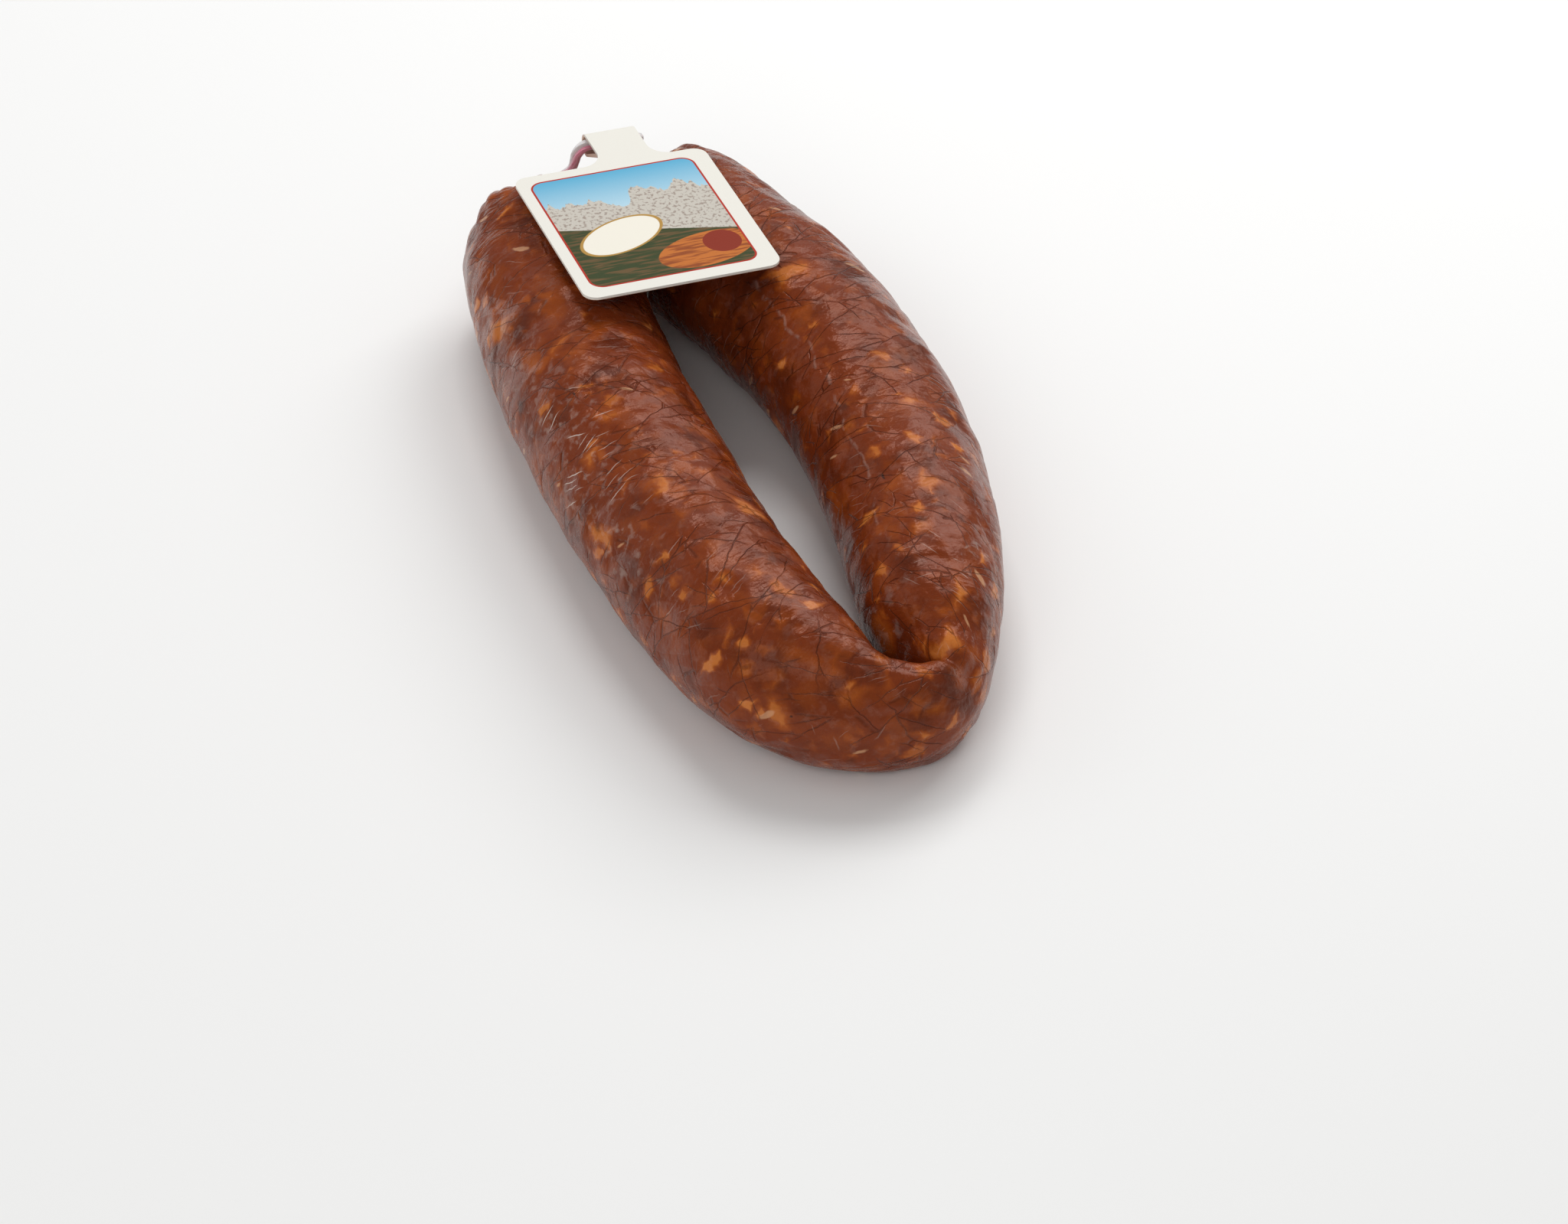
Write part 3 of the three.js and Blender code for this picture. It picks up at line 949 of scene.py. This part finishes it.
@dataclass(frozen=True)
class Studio:
    """Camera, floor and lights, set as in the photograph. Lengths in metres."""

    image_width: int = 2048
    focal_pixels: float = 5775.0
    sensor: float = 36.0
    elevation: float = 42.0
    azimuth: float = -24.5
    distance: float = 1.0
    target: tuple[float, float, float] = (-0.007974, -0.04282, 0.0)
    floor_reach: float = 3.0
    surroundings: float = 0.36
    # a key from behind on the right, a small one high behind, and weak fills on the left and in front
    boxes: tuple[SoftBox, ...] = (
        SoftBox("key_box", 122, 46, 0.7, 4.8, 1.1),
        SoftBox("top_box", 168, 62, 0.42, 3.5, 1.2),
        SoftBox("left_box", -118, 32, 0.6, 0.7, 1.2),
        SoftBox("front_box", -40, 40, 0.8, 3.0, 1.3),
    )

    def direction(self, azimuth: float, elevation: float) -> np.ndarray:
        """Unit vector towards a viewer at an azimuth from -Y and an elevation, both in degrees."""
        a, e = math.radians(azimuth), math.radians(elevation)
        return np.array([math.sin(a) * math.cos(e), -math.cos(a) * math.cos(e), math.sin(e)])

    def aim(self, thing: bpy.types.Object, towards: np.ndarray) -> None:
        """Turn a camera or light so that it looks at a point with its top upwards.

        Args:
            thing: the camera or light, already in its place.
            towards: the point.
        """
        look = np.array(towards) - np.array(thing.location)
        look /= np.linalg.norm(look)
        right = np.cross(look, (0, 0, 1))
        right /= np.linalg.norm(right)
        matrix = np.identity(4)
        matrix[:3, 0], matrix[:3, 1], matrix[:3, 2] = right, np.cross(right, look), -look
        matrix[:3, 3] = thing.location
        thing.matrix_world = matrix.T.tolist()

    def camera(self) -> None:
        """Create the camera at the photograph's viewing angle and framing."""
        data = bpy.data.cameras.new("camera")
        data.sensor_width = self.sensor
        data.lens = self.focal_pixels / self.image_width * self.sensor
        data.clip_end = 20
        camera = add_object("camera", data)
        camera.location = np.array(self.target) + self.direction(self.azimuth, self.elevation) * self.distance
        self.aim(camera, np.array(self.target))
        bpy.context.scene.camera = camera

    def light(self, box: SoftBox) -> None:
        """Add a soft box that looks at the sausage.

        Args:
            box: where it stands, its size and its power.
        """
        data = bpy.data.lights.new(box.name, "AREA")
        data.shape = "SQUARE"
        data.size = box.size
        data.energy = box.power
        lamp = add_object(box.name, data)
        lamp.location = self.direction(box.azimuth, box.elevation) * box.distance
        self.aim(lamp, np.zeros(3))

    def build(self) -> None:
        """Make the floor, the soft boxes and the white surroundings."""
        mesh = bpy.data.meshes.new("floor")
        r = self.floor_reach
        mesh.from_pydata([(-r, -r, 0), (r, -r, 0), (r, r, 0), (-r, r, 0)], [], [(0, 1, 2, 3)])
        mesh.materials.append(StudioFloor().material())
        floor = add_object("floor", mesh)
        for box in self.boxes:
            self.light(box)
        world = bpy.data.worlds.new("white_studio")
        world.use_nodes = True
        world.node_tree.nodes.clear()
        shade = add_node(world.node_tree, "Background", (1, 1, 1, 1), self.surroundings)
        add_node(world.node_tree, "OutputWorld", shade)
        bpy.context.scene.world = world
        bpy.context.scene.view_settings.view_transform = "Standard"


# ---------------------------------------------------------------- string and tag


@dataclass
class TagString:
    """Two loose strands of twine, held in both clips, that run through the loop of the tag."""

    diameter: float = 2.8
    # millimetres along the string in which the strands turn once, and from its middle to a strand's
    pitch: float = 46.0
    spread: float = 0.62
    radii: Span = (0.74, 0.98)
    unevenness: float = 0.16
    phase: float = 0.4
    samples: int = 320
    sides: int = 28
    # the course of the solid string, in metres
    route: tuple[tuple[float, float, float], ...] = (
        (-0.0103, 0.0895, 0.02475),
        (-0.0094, 0.0916, 0.02475),
        (-0.0087, 0.0933, 0.0248),
        (-0.008, 0.095, 0.0254),
        (-0.0069, 0.0962, 0.0264),
        (-0.0053, 0.0965, 0.0272),
        (-0.0037, 0.0959, 0.0282),
        (-0.0026, 0.0946, 0.0298),
        (-0.0021, 0.0934, 0.0319),
        (-0.0019, 0.0925, 0.0342),
        (-0.0016, 0.0917, 0.0366),
        (0.0, 0.0913, 0.0383),
        (0.0035, 0.0911, 0.0385),
        (0.0067, 0.0909, 0.0383),
        (0.0104, 0.0907, 0.0381),
        (0.0135, 0.0906, 0.0377),
        (0.0144, 0.0919, 0.0362),
        (0.014, 0.0935, 0.0336),
        (0.0137, 0.0944, 0.0307),
        (0.0126, 0.0946, 0.028),
        (0.0113, 0.0936, 0.026),
        (0.0109, 0.092, 0.025),
        (0.0112, 0.0905, 0.0247),
        (0.0121, 0.0885, 0.0246),
        (0.013, 0.0865, 0.0246),
    )

    def centreline(self) -> np.ndarray:
        """Smooth curve through the route.

        Each span is a cubic with tangents from its neighbours, timed by the square root of the
        distance between the points.

        Returns:
            Points in millimetres, shaped samples x 3.
        """
        knots = np.array(self.route) / MM
        knots = np.concatenate([[2 * knots[0] - knots[1]], knots, [2 * knots[-1] - knots[-2]]])
        at = np.linspace(0, len(knots) - 3 - 1e-9, self.samples)
        span = at.astype(int)
        p0, p1, p2, p3 = (knots[span + k] for k in range(4))
        pairs = (p0, p1), (p1, p2), (p2, p3)
        t0, t1, t2 = (np.sqrt(np.linalg.norm(b - a, axis=1))[:, None] for a, b in pairs)
        start = ((p1 - p0) / t0 - (p2 - p0) / (t0 + t1) + (p2 - p1) / t1) * t1
        finish = ((p2 - p1) / t1 - (p3 - p1) / (t1 + t2) + (p3 - p2) / t2) * t1
        t = (at - span)[:, None]
        cubic = 2 * p1 - 2 * p2 + start + finish
        square = -3 * p1 + 3 * p2 - 2 * start - finish
        return p1 + start * t + square * t**2 + cubic * t**3

    def frames(self, line: np.ndarray) -> tuple[np.ndarray, np.ndarray, np.ndarray]:
        """Directions that follow the line without turning about it.

        Args:
            line: the centreline's points.

        Returns:
            Distance along the line, and two unit vectors across it at each point.
        """
        tangent = np.gradient(line, axis=0)
        tangent /= np.linalg.norm(tangent, axis=1, keepdims=True)
        travelled = np.concatenate([[0], np.cumsum(np.linalg.norm(np.diff(line, axis=0), axis=1))])
        across = np.zeros_like(line)
        across[0] = np.cross(tangent[0], (0, 0, 1))
        for i in range(1, len(line)):
            across[i] = across[i - 1] - tangent[i] * (across[i - 1] @ tangent[i])
            across[i] /= np.linalg.norm(across[i])
        return travelled, across, np.cross(tangent, across)

    def strand(self, name: str, phase: float, finish: LooseTwine, seed: int) -> bpy.types.Object:
        """One strand: an uneven oval carried along a slow helix about the centreline.

        Args:
            name: the piece's name.
            phase: where the strand starts round the centreline, in radians.
            finish: the twine's finish.
            seed: seed of the strand's unevenness.

        Returns:
            The strand.
        """
        line = self.centreline()
        travelled, across, up = self.frames(line)
        turn = (phase + 2 * math.pi * travelled / self.pitch)[:, None]
        outward = across * np.cos(turn) + up * np.sin(turn)
        beside = -across * np.sin(turn) + up * np.cos(turn)
        middle = line + outward * self.spread
        angle = np.linspace(0, 2 * math.pi, self.sides, endpoint=False)[None, :]
        probe = travelled[:, None] / 6, np.cos(angle) * 3, np.sin(angle) * 3
        probe = np.stack(np.broadcast_arrays(*probe), axis=-1)
        uneven = 1 + self.unevenness * Unevenness(seed).at(probe, 1.0)
        out = (self.radii[0] * np.cos(angle) * uneven)[..., None] * outward[:, None]
        aside = (self.radii[1] * np.sin(angle) * uneven)[..., None] * beside[:, None]
        around = np.linspace(0, 2 * math.pi * 0.85, self.sides + 1)
        uv = np.stack(np.meshgrid(travelled, around, indexing="ij"), axis=-1)
        return grid_object(name, middle[:, None] + out + aside, uv, finish.material())

    def build(self) -> bpy.types.Object:
        """Make both strands as one piece.

        Returns:
            The string.
        """
        undyed = LooseTwine("undyed_cotton_twine", "#fffdfd", "#faf0ef")
        dyed = LooseTwine("dyed_cotton_twine", "#ffacc0", "#f886a4")
        white = self.strand("twine", self.phase, undyed, 5)
        pink = self.strand("pink_strand", self.phase + math.pi, dyed, 6)
        with bpy.context.temp_override(active_object=white, selected_editable_objects=[white, pink]):
            bpy.ops.object.join()
        return white

    def declare(self, string: bpy.types.Object) -> None:
        """Hang the string on the root body, and hide the imported solid string.

        Args:
            string: both strands.
        """
        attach(string, "root")
        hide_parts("string")


@dataclass(frozen=True)
class CardTag:
    """Card tag whose strap is bent round the string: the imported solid, which gets its print."""

    centre: tuple[float, float, float] = (-0.8, 50.8, 43.9)
    slopes: tuple[float, float, float] = (-3.6, 3.4, -3.4)

    def dress(self, tag: bpy.types.Object) -> None:
        """Give the solid its board and print. The card is turned about Z first, then Y, then X.

        Args:
            tag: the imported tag.
        """
        x, y, z = (Matrix.Rotation(math.radians(a), 3, axis) for a, axis in zip(self.slopes, "XYZ"))
        finish = PrintedCard(origin=tuple(Vector(self.centre) * MM), turn=tuple((x @ y @ z).to_euler()))
        tag.data.materials.clear()
        tag.data.materials.append(finish.material())
        LOG.info("tag: %d faces", len(tag.data.polygons))


# ---------------------------------------------------------------- sausage and clips


@dataclass
class Sausage:
    """The sausage itself: two arms, the fold, two gathered ends and the casing's tails."""

    course: Course
    radius: float = 20.5
    dome_length: float = 20.0
    bluntness: float = 3.3
    dome_pleats: int = 8
    neck_radius: float = 2.6
    neck_length: float = 8.6
    tail_radius: float = 5.4
    tail_length: float = 8.4
    tail_droop: float = 6.0
    crease_depth: float = 3.4
    crease_reach: float = 1.5
    crease_at: float = 9.0
    lip_height: float = 0.8
    side_gap: float = 0.6
    sides: int = 148
    # share of the rim's width and depth of the rings inside a tail
    cup: tuple[Span, ...] = ((0.93, -0.1), (0.84, 0.3), (0.74, 1.6), (0.6, 3.0), (0.42, 4.2), (0.2, 5.0))
    # strength, place, angle in degrees, and reach along and round the sausage of each rubbed patch
    rubbed: tuple[tuple[float, float, float, float, float], ...] = (
        (1.0, -100, 140, 20, 30),
        (0.8, -66, 150, 16, 26),
        (0.5, -130, 150, 12, 20),
        (0.9, 34, 130, 9, 30),
        (0.7, 62, 165, 16, 20),
        (0.5, 22, 30, 12, 26),
    )
    rubbed_all_over: float = 0.16
    # height and cell of the lumps; depth, cell, sharpness and shift of the crossing creases
    lumps: tuple[Span, ...] = ((0.3, 7.5), (0.2, 3.6))
    wrinkles: tuple[tuple[float, float, int, int], ...] = ((0.26, 9.0, 14, 0), (0.1, 4.4, 8, 31))
    filling: Unevenness = Unevenness(11)
    skin: Unevenness = Unevenness(23)

    def places(self) -> np.ndarray:
        """Where the rings stand along the course: closest at the fold, the domes and the tails.

        Returns:
            Places in millimetres, rising from the left tail to the right one.
        """
        left, right = self.course.end(Side.LEFT), self.course.end(Side.RIGHT)
        half = self.course.fold_length / 2
        dome = self.dome_length * np.sin(np.linspace(0, math.pi / 2, 43))
        neck = self.dome_length + np.linspace(0, self.neck_length, 9)
        tail = self.dome_length + self.neck_length + np.linspace(0, self.tail_length, 15)
        end = np.concatenate([dome[1:], neck[1:], tail[1:]])
        arm_left = np.linspace(left, -half, 205)
        fold = np.linspace(-half, half, 88)[1:-1]
        arm_right = np.linspace(half, right, 207)
        return np.concatenate([(left - end)[::-1], arm_left, fold, arm_right, right + end])

    def end_share(self, past: np.ndarray, full: np.ndarray) -> np.ndarray:
        """Radius past an arm's end as a share of the full one.

        A blunt dome (the sum of the two powers is 1) down to the neck, then the neck, then a tail
        that flares as a quarter sine.

        Args:
            past: distance past the arm's end.
            full: the full radius.

        Returns:
            The share at each place.
        """
        neck = self.neck_radius / full
        round_part = (1 - np.clip(past / self.dome_length, 0, 1) ** self.bluntness) ** (1 / self.bluntness)
        beyond = np.clip(past - self.dome_length - self.neck_length, 0, None)
        flare = np.sin(math.pi / 2 * np.minimum(1, beyond / (self.tail_length * 0.55)))
        return neck + (1 - neck) * round_part + (self.tail_radius - self.neck_radius) / full * flare

    def pleats(self, past: np.ndarray, angle: np.ndarray, phase: np.ndarray) -> np.ndarray:
        """Folds round an end: cosines that grow towards the neck, and deep ruffles on the tail.

        Args:
            past: distance past the arm's end, as a column.
            angle: angles round a ring in radians, as a row.
            phase: where the folds of the nearer end start, in radians.

        Returns:
            What the radius is multiplied by, about 1.
        """
        beyond = past - self.dome_length - self.neck_length
        in_dome = np.minimum(past, self.dome_length) / self.dome_length
        fade = 1 - smoothstep((past - self.dome_length + 1.5) / 1.5)
        broad = np.cos(self.dome_pleats * angle + phase)
        narrow = 0.4 - np.abs(np.cos(11 * angle - 2 * phase + 1.6 * np.sin(3 * angle)))
        dome = 0.1 * in_dome**3 * fade * broad - 0.1 * in_dome**3 * fade * narrow
        wave = np.cos(8 * angle + phase + 0.25 * beyond) + 0.8 * np.cos(5 * angle - 2 * phase + 0.3 * beyond)
        wave = wave + 0.55 * np.cos(13 * angle + 3 * phase - 0.35 * beyond) - 0.8
        frayed = 0.05 * smoothstep(beyond / 4) * np.cos(31 * angle - phase + 0.6 * beyond)
        return 1 + dome + np.where(beyond > 0, 0.125 * smoothstep(beyond / 4) * wave + frayed, 0)

    def relief(self, s: np.ndarray, angle: np.ndarray, share: np.ndarray) -> np.ndarray:
        """Height of the skin over the even tube, in millimetres.

        Long swellings of the filling, lumps some 15 and 7 mm apart, crossing creases and fine
        wrinkles that run across the sausage; less towards the necks.

        Args:
            s: places along the course, as a column.
            angle: angles round a ring in radians, as a row.
            share: radius at each place as a share of the full one.

        Returns:
            Heights shaped places x angles.
        """
        long = np.sin(s / 8.7 + 1.3) * np.cos(2 * angle + s / 31)
        short = np.sin(s / 4.9 + 3 * angle) * np.cos(s / 12.5 - angle)
        swelling = (0.28 * long + 0.2 * short) * np.minimum(1, np.abs(s) / 25)
        round_places = self.radius * np.cos(angle), self.radius * np.sin(angle)
        probe = np.stack(np.broadcast_arrays(s, *round_places), axis=-1)
        lumps = sum(height * self.filling.at(probe, cell) for height, cell in self.lumps)
        across = probe * np.array([1.0, 0.45, 0.45])
        creases = sum(
            depth * self.skin.creases(across + shift, cell, sharpness)
            for depth, cell, sharpness, shift in self.wrinkles
        )
        tight = 0.05 * self.skin.creases(probe * np.array([1.0, 0.28, 0.28]) + 57, 2.3, 4)
        tight = tight * (0.25 + 0.75 * smoothstep(0.5 + self.filling.at(probe + 90, 16)))
        return (swelling + lumps - creases - tight - 0.12) * np.clip(share * 1.4 - 0.3, 0, 1)

    def points(self) -> tuple[np.ndarray, np.ndarray, np.ndarray]:
        """The skin's points.

        A ring stands across the centreline at each place: an oval of the section's half width and
        half height, with the relief added to both and the crease of the fold taken off.

        Returns:
            Points shaped rings x sides x 3, the places, and the angles round a ring.
        """
        s = self.places()
        angle = -math.pi / 2 + np.linspace(0, 2 * math.pi, self.sides, endpoint=False)
        column, row = s[:, None], angle[None, :]
        half_width, shift, half_height = self.course.section(s).T[:, :, None]
        past = self.course.past(column).clip(0)
        share = self.end_share(past, half_height)
        phase = np.where(column < 0, 0.4, 2.1)
        pleat = np.where(past > 0, self.pleats(past, row, phase), 1.0)
        inside = np.abs(np.cos(row / 2)) ** 1.6
        crease = self.crease_depth * inside * np.exp(-(((column - self.crease_at) / self.crease_reach) ** 2))
        lip = self.lip_height * inside * np.exp(-(((column - self.crease_at - 3.6) / 2.0) ** 2))
        relief = self.relief(column, row, share) - crease + lip
        across = (half_width * share + relief) * pleat * np.cos(row) - shift * share
        rise = (half_height * share + relief) * pleat * np.sin(row)
        heading = self.course.heading(s)[:, None]
        place = self.course.place(s)
        beyond = past - self.dome_length - self.neck_length
        droop = self.tail_droop * smoothstep(beyond / self.tail_length)
        torn = 0.5 + 0.3 * np.cos(5 * row + 2 * phase) + 0.2 * np.cos(11 * row - phase)
        back = -np.sign(column) * 3.0 * torn * smoothstep((beyond - 1) / 7)
        x = place[:, :1] - np.sin(heading) * across + np.cos(heading) * back
        y = place[:, 1:] + np.cos(heading) * across + np.sin(heading) * back
        z = half_height - self.course.sink - droop + rise
        rows = self.pressed(np.stack([x, y, z], axis=-1), s)
        rims = (0, Side.LEFT), (-1, Side.RIGHT)
        first, last = (self.hollow(rows[k], heading[k, 0], side) for k, side in rims)
        s = np.concatenate([np.full(len(first), s[0]), s, np.full(len(last), s[-1])])
        return np.concatenate([first[::-1], rows, last]), s, angle

    def hollow(self, rim: np.ndarray, heading: float, side: Side) -> np.ndarray:
        """Rings that lead from a tail's rim back into it, so that the film stands up as a wall.

        Args:
            rim: the last ring of the tail.
            heading: the course's direction there in radians.
            side: the arm that the tail belongs to.

        Returns:
            Rings from the rim inwards.
        """
        outwards = side.value * np.array([math.cos(heading), math.sin(heading), 0])
        hub = rim.mean(axis=0)
        return np.array([hub + (rim - hub) * scale - outwards * depth for scale, depth in self.cup])

    def pressed(self, points: np.ndarray, s: np.ndarray) -> np.ndarray:
        """Push back what passes the seam between the arms, and flatten what passes the floor.

        Args:
            points: the skin's points, shaped rings x sides x 3.
            s: the rings' places along the course.

        Returns:
            The same points, moved.
        """
        side = np.sign(s)[:, None]
        near_fold = (np.abs(s) < self.course.arm_length[Side.LEFT] / 2)[:, None]
        lean = np.where(near_fold, math.radians(self.course.fold_heading), 0.0)
        ends = self.course.place(np.array([self.course.end(Side.LEFT), self.course.end(Side.RIGHT)]))
        seam_x = np.where(near_fold, self.course.fold_place[0], ends[:, 0].mean())
        seam_y = np.where(near_fold, self.course.fold_place[1], 0.0)
        room = np.minimum(self.side_gap / 2, np.abs(s) / 10)[:, None]
        past = (points[..., 0] - seam_x) * np.cos(lean) + (points[..., 1] - seam_y) * np.sin(lean)
        push = np.maximum(0, room - side * past) * side
        points[..., 0] += push * np.cos(lean)
        points[..., 1] += push * np.sin(lean)
        points[..., 2] = np.maximum(points[..., 2], 0)
        return points

    def scuffs(self, s: np.ndarray, angle: np.ndarray) -> np.ndarray:
        """How rubbed the skin is: a little all over, and a bell in place and angle for each patch.

        Args:
            s: places along the course.
            angle: angles round a ring in radians.

        Returns:
            Numbers from 0 to 1, shaped places x angles.
        """
        total = self.rubbed_all_over
        for strength, place, turn, reach, width in self.rubbed:
            along = ((s[:, None] - place) / reach) ** 2
            away = (np.degrees(angle)[None, :] - turn + 180) % 360 - 180
            total = total + strength * np.exp(-along - (away / width) ** 2)
        return np.clip(total, 0, 1)

    def build(self, bounds: np.ndarray) -> bpy.types.Object:
        """Make the sausage.

        Args:
            bounds: lowest and highest corner of the solid sausage in metres.

        Returns:
            The sausage.
        """
        rows, s, angle = self.points()
        rows = np.clip(rows, bounds[0] / MM, bounds[1] / MM)
        around = np.linspace(0, 2 * math.pi * self.radius, self.sides + 1)
        uv = np.stack(np.meshgrid(s, around, indexing="ij"), axis=-1)
        sausage = grid_object("cased_sausage", rows, uv, CuredCasing().material())
        paint(sausage, "scuff", self.scuffs(s, angle))
        past = self.course.past(s)
        along = {
            # where the seam runs, whose pale line is partly a painted highlight
            "seam": smoothstep((s - 38) / 8) * (1 - smoothstep((s - 132) / 12)),
            "gather": 0.2 + 0.8 * smoothstep((past + 30) / 30) + 0.4 * np.exp(-((s / 40) ** 2)),
            "film": smoothstep((past - self.dome_length - 1) / 3),
        }
        for name, values in along.items():
            paint(sausage, name, np.repeat(np.clip(values, 0, 1)[:, None], self.sides, axis=1))
        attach(sausage, "root")
        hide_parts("sausage")
        LOG.info("sausage: %d faces", len(sausage.data.polygons))
        return sausage


@dataclass
class Clip:
    """Strip of aluminium closed round a neck and the string."""

    course: Course
    side: Side
    width: float = 9.0
    height: float = 12.0
    strip: float = 1.3
    depth: float = 5.5
    corner: float = 2.6
    offset: float = 1.2
    lift: float = 1.6
    dome_length: float = 20.0
    groove: float = 0.12
    edge_power: float = 0.32
    sections: int = 120
    points: int = 36

    def loop(self) -> tuple[np.ndarray, np.ndarray, np.ndarray]:
        """Middle line of the strip: a rounded rectangle walked at an even pace.

        Returns:
            Points, outward normals and the distance walked.
        """
        w = self.width / 2 - self.corner
        h = self.height / 2 - self.corner
        r = self.corner - self.strip / 2
        quarter = r * math.pi / 2
        lengths = np.array([2 * h, quarter, 2 * w, quarter, 2 * h, quarter, 2 * w, quarter])
        marks = np.concatenate([[0], np.cumsum(lengths)])
        walked = np.linspace(0, marks[-1], self.sections, endpoint=False)
        part = np.clip(np.searchsorted(marks, walked, side="right") - 1, 0, 7)
        share = (walked - marks[part]) / lengths[part]
        turned = (part // 2 + np.where(part % 2 == 1, share, 0)) * math.pi / 2
        normal = np.stack([np.cos(turned), np.sin(turned)], axis=-1)
        corners = np.array([[w, h], [-w, h], [-w, -h], [w, -h]])
        ahead = corners[part // 2]
        behind = corners[(part // 2 - 1) % 4]
        straight = behind + (ahead - behind) * share[:, None]
        middle = np.where((part % 2 == 1)[:, None], ahead, straight) + normal * r
        return middle, normal, walked

    def build(self) -> bpy.types.Object:
        """Make the clip: a flat rounded section carried round the loop, with two pressed grooves.

        The section is a bar with rounded edges: the strip's thickness along the normal, its depth
        along the neck, each a cosine or sine raised to a low power.

        Returns:
            The clip.
        """
        middle, normal, walked = self.loop()
        t = np.linspace(0, 2 * math.pi, self.points, endpoint=False)
        out = np.sign(np.cos(t)) * np.abs(np.cos(t)) ** self.edge_power * self.strip / 2
        deep = np.sign(np.sin(t)) * np.abs(np.sin(t)) ** self.edge_power * self.depth / 2
        groove = self.groove * np.cos(deep * 2.6) * (out > 0)
        uneven = 0.05 * np.sin(walked * 1.3)[:, None]
        radial = out[None, :] + groove[None, :] - 0.1 + uneven
        flat = middle[:, None] + normal[:, None] * radial[..., None]
        end = self.course.end(self.side)
        s = end + self.side.value * (self.dome_length + self.offset)
        heading = float(self.course.heading(np.array([s]))[0]) + (math.pi if self.side is Side.LEFT else 0)
        place = self.course.place(np.array([s]))[0]
        half_height = float(self.course.section(np.array([end]))[0, 2])
        along = np.array([math.cos(heading), math.sin(heading), 0])
        across = np.array([-along[1], along[0], 0])
        origin = np.array([*place, half_height - self.course.sink + self.lift])
        depth = (deep + self.depth / 2)[None, :, None]
        rows = origin + flat[..., :1] * across + flat[..., 1:] * np.array([0, 0, 1]) + depth * along
        walk, girth = np.append(walked, walked[-1] + 0.3), np.linspace(0, 13, self.points + 1)
        uv = np.stack(np.meshgrid(walk, girth, indexing="ij"), axis=-1)
        # the long way round the loop is the grid's ring, so that faces look outwards
        rows, uv = rows.swapaxes(0, 1), uv.swapaxes(0, 1)
        name = f"strip_clip_{self.side.name.lower()}"
        clip = grid_object(name, rows, uv, PressedAluminium().material(), band=True)
        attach(clip, "root")
        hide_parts(f"clip_{self.side.name.lower()}")
        LOG.info("clip: %s", clip.name)
        return clip


# ---------------------------------------------------------------- assembly


def main() -> None:
    """Build the studio and every piece, in order."""
    logging.basicConfig(level=logging.INFO, format="%(message)s")
    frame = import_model()
    studio = Studio()
    studio.camera()
    string = TagString()
    twine = string.build()
    tag = frame["nodes"]["tag"]
    CardTag().dress(tag)
    string.declare(twine)
    course = Course()
    Sausage(course).build(np.array(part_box("sausage")))
    for side in Side:
        Clip(course, side).build()
    studio.build()


if __name__ == "__main__":
    main()
